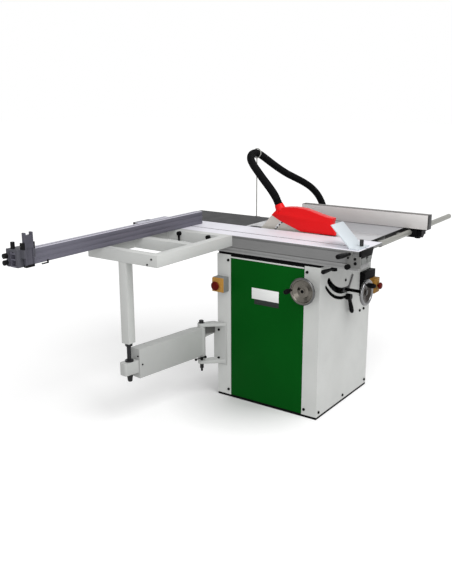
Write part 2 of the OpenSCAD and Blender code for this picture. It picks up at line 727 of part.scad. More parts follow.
// Rising saw unit
module arbor_block() color("#7b7e80") difference() {
    nut_z = table_z - 78;
    union() {
        rod_x(housing_x0, housing_x1, blade_y, blade_z, housing_d);
        box(30, 58, -column_y - 10, column_y + 10, bush_z0 + 12, bush_z1);
        for (y = [-column_y, column_y])
            rod_z(bush_z0, bush_z1, column_x, y, bush_d);
        box(motor_x - 7, motor_x, -column_y, column_y, motor_z - 75, bush_z1);
        for (y = [-column_y, column_y])
            box(column_x, motor_x, y - 10, y + 10, bush_z0, bush_z1);
        box(14, 34, screw_y, -column_y + 20, nut_z, nut_z + 24);
        box(14, strap_x0 - 8, -column_y - 10, -column_y + 20, nut_z - 20, nut_z + 24);
        rod_z(nut_z, nut_z + 24, 0, screw_y, 36);
        box(knife_t / 2, 44, knife_arm_y0, knife_arm_y1, bush_z0 + 10, bush_z1);
        box(30, 52, column_y - 10, knife_arm_y1, bush_z0 + 12, bush_z1);
    }
    for (y = [-column_y, column_y])
        rod_z(0, table_z, column_x, y, column_d + 2 * pin_gap);
    rod_x(0, housing_x1 + over, blade_y, blade_z, arbor_d + 2 * pin_gap);
    rod_z(nut_z - over, nut_z + 25, 0, screw_y, 16 + 2 * pin_gap);
    rod_x(motor_x - 8, motor_x + over, blade_y, motor_z, 46);
    rod_x(motor_x - 8, motor_x + over, blade_y, blade_z, arbor_d + 10);
}
module arbor_shaft() color("#b8babd") {
    rod_x(-26, flange_t + kerf / 2 + 0.1, blade_y, blade_z, arbor_d - 10);
    rod_x(-kerf / 2, belt_x0, blade_y, blade_z, arbor_d);
    pulley_profile(arbor_pulley_d, blade_z);
}
module pulley_profile(d, z) {
    translate([belt_x0, blade_y, z]) rotate([0, 90, 0]) rotate_extrude($fn = 72)
        polygon([[0, 0], [d / 2, 0], [d / 2, 5], [d / 2 - belt_t - 1, 8], [d / 2 - belt_t - 1, 18], [d / 2, 21],
            [d / 2, belt_x1 - belt_x0], [0, belt_x1 - belt_x0]]);
}
module arbor_flanges() color("#9fa2a5") difference() {
    union() {
        rod_x(kerf / 2, kerf / 2 + flange_t, blade_y, blade_z, flange_d);
        rod_x(-kerf / 2 - flange_t, -kerf / 2, blade_y, blade_z, flange_d);
        translate([-kerf / 2 - flange_t - 12, blade_y, blade_z]) rotate([0, 90, 0])
            cylinder(d = 34, h = 12, $fn = 6);
    }
    rod_x(-kerf / 2, kerf / 2 + flange_t + over, blade_y, blade_z, arbor_d);
    rod_x(-40, over, blade_y, blade_z, arbor_d - 10);
}
module saw_blade() color("#a4a7aa") along_x(-kerf / 2, kerf / 2) translate([blade_y, blade_z]) difference() {
    r = blade_d / 2;
    gullet = 9;
    polygon([for (k = [0:teeth - 1], p = [[0, r], [0.3, r - gullet * 0.35], [0.45, r - gullet], [0.75, r - gullet]])
        let (a = -360 * (k + p[0]) / teeth) p[1] * [cos(a), sin(a)]]);
    circle(d = arbor_d);
    for (k = [0:5]) rotate(60 * k + 20) translate([r * 0.68, 0]) circle(d = 12);
}
module motor() color("#8d9194") {
    difference() {
        union() {
            rod_x(motor_x, motor_x + 10, blade_y, motor_z, motor_d - 20);
            rod_x(motor_x + 10, motor_x + motor_len - 34, blade_y, motor_z, motor_d - 16);
            for (k = [0:17])
                translate([motor_x + 12, blade_y, motor_z]) rotate([20 * k, 0, 0])
                    translate([0, -2, 0]) cube([motor_len - 50, 4, motor_d / 2]);
            rod_x(motor_x + motor_len - 34, motor_x + motor_len, blade_y, motor_z, motor_d);
            box(motor_x + 26, motor_x + 106, blade_y + motor_d / 2 - 14, blade_y + motor_d / 2 + 28, motor_z - 42,
                motor_z + 42);
        }
        rod_x(motor_x - over, motor_x + motor_len - 30, blade_y, motor_z, 28 + 2 * pin_gap);
        for (k = [0:5])
            translate([0, blade_y, motor_z]) rotate([60 * k, 0, 0])
                rod_x(motor_x + motor_len - 6, motor_x + motor_len + over, motor_d * 0.3, 0, 22);
    }
}
module motor_pulley() color("#b8babd") {
    pulley_profile(motor_pulley_d, motor_z);
    rod_x(belt_x1 - over, motor_x + motor_len - 32, blade_y, motor_z, 28);
}
// Belt section is clear of both grooves
module drive_belt() color("#191919") along_x(belt_x0 + 8.6, belt_x0 + 17.4) {
    r1 = arbor_pulley_d / 2 - 0.5;
    r2 = motor_pulley_d / 2 - 0.5;
    difference() {
        belt_loop(r1, r2);
        belt_loop(r1 - belt_t, r2 - belt_t);
    }
}
module belt_loop(r1, r2) {
    lean = asin((r2 - r1) / belt_span);
    polygon([for (k = [0:16]) let (a = lean + (180 - 2 * lean) * k / 16)
            [blade_y + r1 * cos(a), blade_z + r1 * sin(a)],
        for (k = [0:20]) let (a = 180 - lean + (180 + 2 * lean) * k / 20)
            [blade_y + r2 * cos(a), motor_z + r2 * sin(a)]]);
}
module riving_knife() color("#b9bbbd") along_x(-knife_t / 2, knife_t / 2) difference() {
    translate([0, table_z]) polygon([[150, -113], [190, -113], [194, -60], [209, -5], [151, 62], [118, 82],
        [110, 93], [100, 96], [90, 93], [84, 74], [60, 40], [120, -80]]);
    translate([blade_y, blade_z]) circle(blade_d / 2 + 4, $fn = 96);
    translate([pivot_y, pivot_z]) circle(d = pivot_d + 2 * pin_gap);
}
module blade_guard() color("#d8171c") difference() {
    half = guard_w / 2;
    union() {
        difference() {
            union() {
                along_x(-half, half) translate([0, table_z]) polygon([[-229, 3], [-206, 59], [-212, 84],
                    [-176, 89], [-136, 98], [-92, 110], [-56, 118], [-22, 121], [10, 121], [40, 119], [70, 115],
                    [100, 106], [135, 72], [80, 45], [-40, 3]]);
                translate(hose_path[0]) rotate([-port_lean, 0, 0]) translate([0, 0, -34])
                    cylinder(d1 = hose_d + 12, d2 = hose_d + 3, h = 33.7);
            }
            along_x(-half + guard_wall, half - guard_wall) translate([0, table_z]) polygon([[-226, -20],
                [-202, 60], [-208, 81], [-176, 85], [-136, 94], [-92, 106], [-56, 114], [-22, 117], [10, 117],
                [40, 115], [69, 111], [98, 102], [130, 70], [130, 20], [80, 0], [-40, -20]]);
            translate(hose_path[0]) rotate([-port_lean, 0, 0]) translate([0, 0, -40])
                cylinder(d = hose_d - 8, h = 42);
        }
        rod_x(-half - 4, half + 4, pivot_y, pivot_z, pivot_d);
        rod_x(-half - 9, -half, pivot_y, pivot_z, 20);
    }
    // Knife slot through the rear, and the right wall cut back so that it clears the table when tilted
    box(-knife_t / 2 - 2.5, knife_t / 2 + 2.5, pivot_y + 6, 150, table_z - 10, table_z + 130);
    translate([0, 0, table_z]) rotate([0, -45, 0]) box(-200, 200, -240, 150, -100, 5.6);
}

// Hand controls
module height_handwheel() color("#b4b6b9") {
    translate([0, -400, height_z]) rotate([90, 0, 0]) wheel_body(180);
    rod_y(-396, screw_y - 14, 0, height_z, shaft_d);
    translate([0, screw_y, height_z]) rotate([90, 0, 0]) rotate_extrude()
        polygon([[0, 9], [9 - gap, 9], [16 - gap, 16], [16 - gap, 18], [0, 18]]);
}
module height_grip() color("#151515")
    translate([-grip_r, -400 - grip_seat, height_z]) rotate([90, 0, 0]) crank_grip();
module tilt_handwheel() color("#8f9295") {
    translate([-342, sector_y, tilt_wheel_z]) rotate([0, -90, 0]) wheel_body(90);
    rod_x(-338, 62, sector_y, tilt_wheel_z, shaft_d);
    rod_x(-40, 40, sector_y, tilt_wheel_z, worm_d);
    rod_x(-300, left_x - 4, sector_y, tilt_wheel_z, 30);
}
module tilt_grip() color("#151515")
    translate([-342 - grip_seat, sector_y + grip_r, tilt_wheel_z]) rotate([0, -90, 0]) crank_grip();
module tilt_lock_lever() color("#161616") {
    rod_y(front_y - 4, front_y + sheet + 8, 0, lock_z, 10);
    rod_y(front_y - 28, front_y - 3, 0, lock_z, 32);
    translate([0, front_y - 17, lock_z]) rotate([0, 156, 0])
        rotate_extrude() polygon([[0, 0], [11, 0], [9, 30], [11, 66], [11, 88], [7, 98], [0, 98]]);
}
module slide_lock_lever() color("#161616") {
    rod_z(rail_z0 - 16, rail_z0 + 14, rib_x, -330, 10);
    rod_z(rail_z0 - 30, rail_z0 - gap, rib_x, -330, 28);
    translate([rib_x, -330, rail_z0 - 18]) rotate([0, -88, 0])
        rotate_extrude() polygon([[0, 0], [8, 0], [7, 40], [10, 90], [10, 112], [5, 122], [0, 122]]);
}
module estop_box() color("#c8a038") difference() {
    union() {
        box(left_x - 46, left_x, rear_y - 70, rear_y - 2, estop_z - 37, estop_z + 37);
        box(left_x - 54, left_x - 45, rear_y - 67, rear_y - 5, estop_z - 34, estop_z + 34);
        rod_x(left_x - 58, left_x - 50, rear_y - 36, estop_z, 44);
    }
    rod_x(left_x - 60, left_x - 30, rear_y - 36, estop_z, 12 + 2 * pin_gap);
}
module estop_button() color("#8a1512")
    translate([left_x - 65, rear_y - 36, estop_z]) rotate([0, -90, 0]) mushroom(27, 12, 36);
module switch_box() color("#c8a038") difference() {
    union() {
        box(switch_x - 88, switch_x + 34, front_y - 30, front_y, switch_z - 46, switch_z + 80);
        box(switch_x - 34, switch_x + 30, front_y - 58, front_y - 29, switch_z - 38, switch_z + 38);
        rod_y(front_y - 62, front_y - 54, switch_x, switch_z, 44);
    }
    rod_y(front_y - 64, front_y - 34, switch_x, switch_z, 12 + 2 * pin_gap);
}
module switch_button() color("#8a1512")
    translate([switch_x, front_y - 69, switch_z]) rotate([90, 0, 0]) mushroom(27, 12, 36);

// Fences and stops
module crosscut_fence() color("#5b5a66") {
    along_x(cross_l, cross_r) difference() {
        rect(cross_y, cross_y + cross_t, cross_z, cross_z + cross_h);
        rect(cross_y + 6, cross_y + cross_t - 6, cross_z + 6, cross_z + cross_h / 2 - 3);
        rect(cross_y + 6, cross_y + cross_t - 6, cross_z + cross_h / 2 + 3, cross_z + cross_h - 12);
        rect(cross_y + cross_t / 2 - 5, cross_y + cross_t / 2 + 5, cross_z + cross_h - 6, cross_z + cross_h + over);
        rect(cross_y - over, cross_y + 2, cross_z + 16, cross_z + 24);
        rect(cross_y - over, cross_y + 2, cross_z + 40, cross_z + 48);
    }
    rod_z(table_z - 13, cross_z + over, slot_x, cross_y + cross_t / 2, slot_w - 2 * gap);
}
module stop_block() color("#3a3b40") {
    x1 = block_l + block_len;
    top = cross_z + cross_h + gap;
    box(block_l, x1, cross_y - 13, cross_y - gap, cross_z + 2, top + 10);
    box(block_l, x1, cross_y + cross_t + gap, cross_y + cross_t + 15, cross_z + 2, top + 10);
    box(block_l, x1, cross_y - 13, cross_y + cross_t + 15, top, top + 10);
    for (x = [flip_x - 6 - gap, flip_x + flip_w + gap])
        box(x, x + 6, flip_y - 8, cross_y - 12, cross_z + 40, flip_z + 9);
    rod_x(flip_x - 3, flip_x + flip_w + 3, flip_y, flip_z, 8);
    rod_z(top + 9, top + 38, block_l + 14, cross_y + cross_t / 2 + 8, 18);
    for (z = [cross_z + 18, cross_z + 46])
        rod_x(block_l - 16, block_l + over, cross_y + cross_t + 13, z, 22);
}
module stop_arm() color("#a9abb0") difference() {
    box(flip_x, flip_x + flip_w, flip_y - flip_t / 2, flip_y + flip_t / 2, cross_z + 1, flip_z + 35);
    rod_x(flip_x - over, flip_x + flip_w + over, flip_y, flip_z, 8 + 2 * pin_gap);
    box(flip_x + 8, flip_x + flip_w - 8, flip_y - flip_t, flip_y + flip_t, flip_z + 24, flip_z + 36);
    box(flip_x + 6, flip_x + flip_w - 6, flip_y - flip_t, flip_y - flip_t / 2 + 4, cross_z + 8, flip_z - 14);
}
module edging_shoe() color("#aeb0b4") {
    x0 = slot_x - 72;
    x1 = slot_x + 44;
    foot_y = carriage_f + 12;
    rise = 96;
    box(x0, x1, foot_y, foot_y + 46, table_z + gap, table_z + 6);
    along_x(x0, x1) polygon([[foot_y + 38, table_z + 5], [foot_y + 46, table_z + 5],
        [foot_y + 46 + rise, table_z + 5 + rise], [foot_y + 38 + rise, table_z + 5 + rise]]);
    rod_z(table_z - 13, table_z + 8, slot_x, foot_y + 18, slot_w - 2 * gap);
    rod_z(table_z + 6, table_z + 36, slot_x, foot_y + 18, 18);
}
module rip_carrier() color("#1e1e1e") difference() {
    union() {
        box(carrier_x0, carrier_x1, carrier_y0, carrier_y1, carrier_z0, carrier_z1);
        box(rip_x + rip_t + gap, rip_x + rip_t + 14, carrier_y0, carrier_y1, carrier_z1 - over, carrier_z1 + 56);
        // Clamp knobs under the carrier and at its end
        for (x = [carrier_x0 + 66, carrier_x0 + 106])
            rod_z(carrier_z0 - 14, carrier_z0 + over, x, carrier_y0 + 18, 30);
        rod_x(carrier_x1 - over, carrier_x1 + 24, carrier_y0 + 7, rail_z + 2, 26);
    }
    rod_x(carrier_x0 - over, carrier_x1 + over, rail_y, rail_z, rail_d + 2 * gap);
    box(carrier_x0 - over, carrier_x1 + over, rail_y, carrier_y1 + over, rail_z - 11, rail_z + 9);
    rod_y(carrier_y0 - over, carrier_y0 + 20, carrier_x0 + 24, rail_z - 2, 10 + 2 * pin_gap);
}
module rip_fence() color("#bdb9bd") {
    cap_t = 4;
    along_y(rip_y, rip_y + cap_t) rect(rip_x, rip_x + rip_t, rip_z, rip_z + rip_h);
    along_y(rip_y + cap_t, rip_y + rip_len) rip_profile();
}
module rip_profile() difference() {
    rect(rip_x, rip_x + rip_t, rip_z, rip_z + rip_h);
    rect(rip_x + 4, rip_x + rip_t - 10, rip_z + 4, rip_z + rip_h / 2 - 2);
    rect(rip_x + 4, rip_x + rip_t - 10, rip_z + rip_h / 2 + 2, rip_z + rip_h - 4);
    rect(rip_x + rip_t - 3, rip_x + rip_t + over, rip_z + 26, rip_z + 34);
    rect(rip_x + rip_t - 8, rip_x + rip_t - 3, rip_z + 22, rip_z + 38);
    rect(rip_x + 8, rip_x + 14, rip_z + rip_h - 3, rip_z + rip_h + over);
}
module rip_knob() color("#141414") {
    x = carrier_x0 + 24;
    z = rail_z - 2;
    rod_y(carrier_y0 - 10, carrier_y0 + 16, x, z, 10);
    translate([x, carrier_y0 - gap, z]) rotate([90, 0, 0]) difference() {
        cylinder(d = 44, h = 24);
        for (k = [0:5]) rotate(60 * k) translate([25, 0, -over]) cylinder(d = 12, h = 26);
    }
}

// Hose, its hanger and the dust ports
module hose_hanger() color("#9b9da0") {
    rod_d = 6;
    ring_r = hose_d / 2 + rod_d / 2 + 1.4;
    rod_x0 = rear_r + 18;
    // The ring stands square to the hose
    at = hose_split + (rod_x0 - hose_top[0]) / (hose_path[hose_split + 1][0] - hose_top[0]);
    centre = curve_at(at);
    lean = curve_dir(at);
    box(rear_r, rear_r + 30, centre[1] - 15, centre[1] + 15, table_z - 28, table_z - 4);
    rod_z(table_z - 20, centre[2] - ring_r, rod_x0, centre[1], rod_d);
    translate([rod_x0, centre[1], centre[2]]) rotate([0, atan2(lean[0], lean[2]), 0])
        rotate_extrude() translate([ring_r, 0]) circle(d = rod_d, $fn = 24);
}
module dust_ports() color("#2a2a2a") {
    difference() {
        union() {
            rod_y(rear_y, rear_y + port_len, 0, port_z, port_d);
            rod_y(rear_y, rear_y + 4, 0, port_z, port_d + 36);
        }
        rod_y(rear_y - over, rear_y + port_len + over, 0, port_z, port_d - 4);
    }
    difference() {
        union() {
            rod_x(right_x, spigot_end, spigot_y, spigot_z, spigot_d);
            rod_x(right_x, right_x + 4, spigot_y, spigot_z, spigot_d + 24);
        }
        rod_x(right_x - over, spigot_end + over, spigot_y, spigot_z, spigot_d - 4);
    }
}
module hose_guard_leg() color("#1a1a1a") ribbed_hose(0, hose_split, guard_ribs);
module hose_drop_leg() color("#1a1a1a") ribbed_hose(hose_split, hose_last, drop_ribs);

base_plinth();
front_panel();
rear_panel();
side_door();
panel_screws();
top_frame();
trunnion_brackets();
main_table();
table_insert();
right_extension();
rear_extension();
rip_rail();
base_rail();
estop_box();
estop_button();
switch_box();
switch_button();
arm_bracket();
hose_hanger();
dust_ports();
hose_guard_leg();
hose_drop_leg();
tilt_cradle();
lift_columns();
tilt_sector();
control_bracket();
arbor_block();
motor();
drive_belt();
riving_knife();
blade_guard();
arbor_shaft();
arbor_flanges();
saw_blade();
motor_pulley();
height_handwheel();
height_grip();
lift_screw();
tilt_handwheel();
tilt_grip();
tilt_lock_lever();
slide_lock_lever();
carriage();
carriage_caps();
carriage_handle();
roller_cage();
outrigger_frame();
outrigger_post();
post_screw();
clamp_lever_front();
clamp_lever_rear();
crosscut_fence();
stop_block();
stop_arm();
edging_shoe();
rip_carrier();
rip_fence();
rip_knob();
arm_outer();
arm_inner();
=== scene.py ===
"""Sliding table saw: finishes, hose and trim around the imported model, with a plain studio stage."""

import math

import bpy
from mathutils import Matrix, Vector


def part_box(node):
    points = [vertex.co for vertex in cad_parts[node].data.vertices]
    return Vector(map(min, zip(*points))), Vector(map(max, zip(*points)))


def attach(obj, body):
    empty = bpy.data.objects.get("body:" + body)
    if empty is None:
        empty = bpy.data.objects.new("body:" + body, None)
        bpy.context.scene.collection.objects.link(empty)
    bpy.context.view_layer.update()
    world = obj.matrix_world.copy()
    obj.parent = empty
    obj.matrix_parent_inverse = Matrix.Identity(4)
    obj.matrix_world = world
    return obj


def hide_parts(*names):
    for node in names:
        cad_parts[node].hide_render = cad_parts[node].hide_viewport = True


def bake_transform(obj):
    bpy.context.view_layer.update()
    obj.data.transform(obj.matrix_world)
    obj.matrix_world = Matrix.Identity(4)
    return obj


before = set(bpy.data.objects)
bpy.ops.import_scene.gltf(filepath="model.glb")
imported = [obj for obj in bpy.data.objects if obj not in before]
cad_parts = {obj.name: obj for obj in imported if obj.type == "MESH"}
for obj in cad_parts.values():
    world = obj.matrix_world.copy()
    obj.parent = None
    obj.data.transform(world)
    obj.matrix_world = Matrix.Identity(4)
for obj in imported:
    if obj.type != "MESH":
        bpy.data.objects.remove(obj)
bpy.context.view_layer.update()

bl_info = {
    "name": "Sliding table saw",
    "version": (1, 0, 0),
    "blender": (4, 5, 0),
    "location": "View3D > Sidebar > Saw",
    "description": "Dresses the packed sliding table saw and sets its stage",
    "category": "Object",
}

# Hose route in metres, from the guard port over the hanger ring to the side spigot
HOSE_ROUTE = [
    (0, 0.105, 0.986), (0, 0.115, 1.005), (0, 0.125, 1.023), (0.016, 0.156, 1.048), (0.04, 0.198, 1.074),
    (0.068, 0.248, 1.104), (0.098, 0.298, 1.134), (0.13, 0.346, 1.162), (0.168, 0.388, 1.188),
    (0.212, 0.412, 1.207), (0.26, 0.42, 1.213), (0.31, 0.42, 1.202), (0.365, 0.414, 1.174),
    (0.42, 0.404, 1.142), (0.475, 0.391, 1.11), (0.53, 0.372, 1.078), (0.585, 0.349, 1.05),
    (0.635, 0.318, 1.02), (0.675, 0.284, 0.984), (0.702, 0.254, 0.938), (0.716, 0.23, 0.882),
    (0.718, 0.214, 0.824), (0.706, 0.206, 0.766), (0.68, 0.202, 0.712), (0.642, 0.2, 0.662),
    (0.594, 0.2, 0.618), (0.54, 0.2, 0.582), (0.484, 0.2, 0.552), (0.43, 0.2, 0.528), (0.382, 0.2, 0.511),
    (0.342, 0.2, 0.505), (0.32, 0.2, 0.505), (0.3, 0.2, 0.505)]

# Curve points on each stretch of the route, and the hose's wall at the root of a rib
ROUTE_STEPS = 12
HOSE_WALL = 0.0012

# Sections of the hose: name, first and last point of the route, body, next body
HOSE_SECTIONS = [
    ("hose_guard_sleeve", 0, 2, "guard", "lift_unit"),
    ("hose_lift_sleeve", 2, 4, "lift_unit", "tilt_unit"),
    ("hose_guard_run", 4, 10, "tilt_unit", "frame"),
    ("hose_drop_run", 10, len(HOSE_ROUTE) - 1, "frame", None),
]

# Finish of each node that keeps its solid
FINISHES = {
    "white_coat": ["front_panel", "rear_panel"],
    "black_coat": ["base_plinth", "top_frame"],
    "extension_coat": ["right_extension"],
    "dark_coat": ["rear_extension"],
    "ground_iron": ["table_insert"],
    "raw_casting": ["trunnion_brackets", "tilt_cradle", "tilt_sector", "arbor_block"],
    "bright_steel": ["lift_columns", "arbor_shaft", "arbor_flanges", "motor_pulley", "lift_screw"],
    "drawn_steel": ["rip_rail", "hose_hanger"],
    "blade_steel": ["saw_blade"],
    "knife_steel": ["riving_knife"],
    "pointer_steel": ["control_bracket"],
    "screw_steel": ["post_screw"],
    "carriage_anodised_painted_light": ["carriage"],
    "rail_anodised": ["base_rail", "motor"],
    "side_wheel_chrome_painted_reflection": ["tilt_handwheel"],
    "moulded_black": ["dust_ports", "tilt_grip", "tilt_lock_lever", "slide_lock_lever", "clamp_lever_front",
                      "clamp_lever_rear", "rip_knob"],
    "handle_black": ["carriage_handle"],
    "flat_belt": ["drive_belt"],
    "cage_plastic": ["roller_cage"],
    "button_red": ["switch_button"],
}

# Nodes shown as copies with eased edges: node, body, slot, finish, edge radius
EASED = [
    ("outrigger_frame", "slider", "white_paint", "outrigger_coat_painted_shade", 0.0014),
    ("outrigger_post", "slider", "white_paint", "outrigger_coat_painted_shade", 0.0014),
    ("arm_outer", "swing", "white_paint", "sleeve_coat_painted_shade", 0.003),
    ("arm_inner", "reach", "white_paint", "arm_coat_painted_shade", 0.0014),
    ("arm_bracket", "frame", "white_paint", "arm_coat_painted_shade", 0.002),
    ("crosscut_fence", "crosscut", "fence_alloy", "grey_anodised_painted_light", 0.0008),
    ("rip_fence", "rip", "aluminium", "rip_anodised", 0.0008),
    ("main_table", "frame", "cast_iron", "ground_iron", 0.0015),
    ("side_door", "frame", "green_paint", "green_coat", 0.0008),
    ("stop_block", "stop", "dark_paint", "stop_coat", 0.0015),
    ("stop_arm", "flip_stop", "fence_alloy", "stop_anodised", 0.001),
    ("rip_carrier", "carrier", "black_paint", "black_coat", 0.003),
    ("edging_shoe", "shoe", "aluminium", "shoe_anodised", 0.001),
    ("carriage_caps", "slider", "black_plastic", "moulded_cap", 0.001),
    ("blade_guard", "guard", "guard_plastic", "red_guard", 0.0015),
    ("estop_box", "frame", "yellow_plastic", "box_side_switch", 0.003),
    ("switch_box", "frame", "yellow_plastic", "box_front_switch_painted_shade", 0.003),
    ("height_handwheel", "height_wheel", "wheel_alloy", "front_wheel_chrome_painted_reflection", 0.0006),
    ("height_grip", "height_wheel", "black_plastic", "moulded_black", 0.0006),
]

# Where an eased copy differs from its solid: low corner, high corner and move of what lies between
MOVED = {
    "stop_block": [((-1.31, 0, 0), (-1.2305, 0.5085, 2), (-0.034, 0, 0)),
                   ((-1.231, 0, 0), (0, 1, 2), (-0.04, 0, 0))],
    "stop_arm": [((-2, 0, 0), (0, 1, 2), (-0.034, 0, 0)),
                 ((-2, 0, 0.97), (0, 1, 2), (0, 0, 0.015))],
    "arm_outer": [((-0.38, 0.3, 0), (-0.36, 0.3215, 1), (-0.0396, 0.0055, 0)),
                  ((-0.37, 0.3635, 0), (-0.35, 0.39, 1), (-0.0396, 0.0055, 0))],
    "arm_bracket": [((-0.2885, 0.2915, 0), (-0.279, 0.2925, 1), (0, 0.02, 0))],
}

# The front wheel and its grip are shown turned about the wheel's axis
WHEEL_NODES = ("height_handwheel", "height_grip")
WHEEL_CENTRE = Vector((0, 0, 0.597))
WHEEL_TURN = math.radians(55)

# Axis of the swing arm's hinge, and the directions along the arm and out of its front side
HINGE = Vector((-0.355, 0.342, 0))
ARM_REACH = Vector((-0.9904, 0.1383, 0))
ARM_SIDE = Vector((-0.1383, -0.9904, 0))

# Directions on the machine
LEFT, FRONT, UP = (-1, 0, 0), (0, -1, 0), Vector((0, 0, 1))

# Grain groups, and the scales that stretch a metal's grain along a direction
COAT, METAL = "coat_grain", "metal_grain"
ALONG_X, ALONG_Y, EVEN = (14, 900, 900), (900, 14, 900), (60, 60, 60)

# Colours and the low reflection that several finishes share
BLACK, DARK = (0.004, 0.004, 0.0044), (0.03, 0.03, 0.032)
SOFT = 0.04

# Surfaces: strength, depth and size of the grain
POWDER = dict(bump=0.12, depth=0.0004, peel=420)
MOULDED = dict(bump=0.15, depth=0.0003, peel=900)
HOUSING = dict(bump=0.08, depth=0.0003, peel=500)
SMOOTH = dict(bump=0.05, depth=0.0003, peel=500)
STEEL = dict(bump=0.05, depth=0.0002, stretch=ALONG_X, streak=0.3)
POLISHED = dict(bump=0.05, depth=0.0002, stretch=EVEN, streak=0.2)
EXTRUDED = dict(bump=0.05, depth=0.0002, stretch=ALONG_Y, streak=0.22)

# Slot and finish of small pieces
BLACK_PIECE = dict(slot="black_plastic", finish="moulded_black")
STEEL_PIECE = dict(slot="steel", finish="screw_steel")

# Camera of the photo: place, then heading, fall and roll in degrees, then lens and sensor in millimetres
CAMERA_PLACE = (-3.195, -1.827, 1.551)
CAMERA_HEADING, CAMERA_FALL, CAMERA_ROLL = -54.668, 15.09, -0.242
CAMERA_LENS, SENSOR_HEIGHT = 45.836, 36.0


class SawPaint(bpy.types.PropertyGroup):
    """Colours of the coats and plastics"""

    white: bpy.props.FloatVectorProperty(
        name="White coat", description="Cabinet, outrigger and swing arm", subtype="COLOR", size=3, min=0, max=1,
        default=(0.6, 0.61, 0.595))
    green: bpy.props.FloatVectorProperty(
        name="Green coat", description="Side door", subtype="COLOR", size=3, min=0, max=1,
        default=(0.001, 0.075, 0.006))
    red: bpy.props.FloatVectorProperty(
        name="Guard red", description="Blade guard", subtype="COLOR", size=3, min=0, max=1,
        default=(0.72, 0.006, 0.008))
    fence: bpy.props.FloatVectorProperty(
        name="Fence grey", description="Crosscut fence and its stop", subtype="COLOR", size=3, min=0, max=1,
        default=(0.135, 0.132, 0.165))
    yellow: bpy.props.FloatVectorProperty(
        name="Switch yellow", description="Covers of the two switches", subtype="COLOR", size=3, min=0, max=1,
        default=(0.47, 0.24, 0.045))


class SawHose(bpy.types.PropertyGroup):
    """Sizes of the dust hose"""

    diameter: bpy.props.FloatProperty(
        name="Diameter", description="Outside diameter over the ribs", subtype="DISTANCE", unit="LENGTH",
        default=0.042, min=0.03, max=0.06)
    rib_pitch: bpy.props.FloatProperty(
        name="Rib pitch", description="Distance from rib to rib", subtype="DISTANCE", unit="LENGTH",
        default=0.0085, min=0.005, max=0.02)
    rib_height: bpy.props.FloatProperty(
        name="Rib height", description="Height of a rib over the root", subtype="DISTANCE", unit="LENGTH",
        default=0.0026, min=0.001, max=0.005)


class SawTrim(bpy.types.PropertyGroup):
    """Sizes of screws and plates"""

    screw_diameter: bpy.props.FloatProperty(
        name="Cap screw", description="Head diameter of the panel screws", subtype="DISTANCE", unit="LENGTH",
        default=0.014, min=0.008, max=0.02)
    screw_height: bpy.props.FloatProperty(
        name="Cap height", description="Height of the screw heads", subtype="DISTANCE", unit="LENGTH",
        default=0.006, min=0.003, max=0.01)
    plate_thickness: bpy.props.FloatProperty(
        name="Plate", description="Thickness of the bare plates on the door", subtype="DISTANCE", unit="LENGTH",
        default=0.0012, min=0.0005, max=0.003)


class SawStage(bpy.types.PropertyGroup):
    """Light levels of the stage"""

    key_power: bpy.props.FloatProperty(
        name="Key light", description="Power of the key light", subtype="POWER", unit="POWER", default=110, min=0)
    fill_power: bpy.props.FloatProperty(
        name="Fill light", description="Power of the fill light", subtype="POWER", unit="POWER", default=54, min=0)
    ambient: bpy.props.FloatProperty(
        name="Ambient", description="Level of the surrounding light", subtype="FACTOR", default=0.55, min=0, max=1)


# Modelling by hand: selection, edit mode and modifiers

def only(piece):
    """Selects one piece alone and makes it active."""
    if bpy.context.object and bpy.context.object.mode != "OBJECT":
        bpy.ops.object.mode_set(mode="OBJECT")
    bpy.ops.object.select_all(action="DESELECT")
    piece.select_set(True)
    bpy.context.view_layer.objects.active = piece


def settle(piece):
    """Puts a piece's place into its mesh."""
    only(piece)
    bpy.ops.object.transform_apply(location=True, rotation=True, scale=True)
    return piece


def apply_modifier(piece, kind, **values):
    modifier = piece.modifiers.new(kind.title(), kind)
    for key, value in values.items():
        setattr(modifier, key, value)
    only(piece)
    bpy.ops.object.modifier_apply(modifier=modifier.name)


def move_part(piece, low, high, offset):
    """Moves the vertices that lie between two corners."""
    only(piece)
    bpy.ops.object.mode_set(mode="EDIT")
    bpy.ops.mesh.select_mode(type="VERT")
    bpy.ops.mesh.select_all(action="DESELECT")
    bpy.ops.object.mode_set(mode="OBJECT")
    for vertex in piece.data.vertices:
        vertex.select = all(a <= c <= b for a, c, b in zip(low, vertex.co, high))
    bpy.ops.object.mode_set(mode="EDIT")
    bpy.ops.transform.translate(value=offset)
    bpy.ops.object.mode_set(mode="OBJECT")


def ease(piece, radius, segments=2, angle=32):
    """Rounds the edges of a finished form."""
    apply_modifier(piece, "BEVEL", width=radius, segments=segments, limit_method="ANGLE",
                   angle_limit=math.radians(angle), use_clamp_overlap=True)
    bpy.ops.object.shade_smooth_by_angle(angle=math.radians(40))


def block(name, low, high, radius):
    """A block between two corners with eased edges."""
    middle = [(a + b) / 2 for a, b in zip(low, high)]
    bpy.ops.object.select_all(action="DESELECT")
    bpy.ops.mesh.primitive_cube_add(size=1, location=middle)
    piece = bpy.context.object
    piece.name = name
    piece.scale = [b - a for a, b in zip(low, high)]
    settle(piece)
    ease(piece, radius)
    return piece


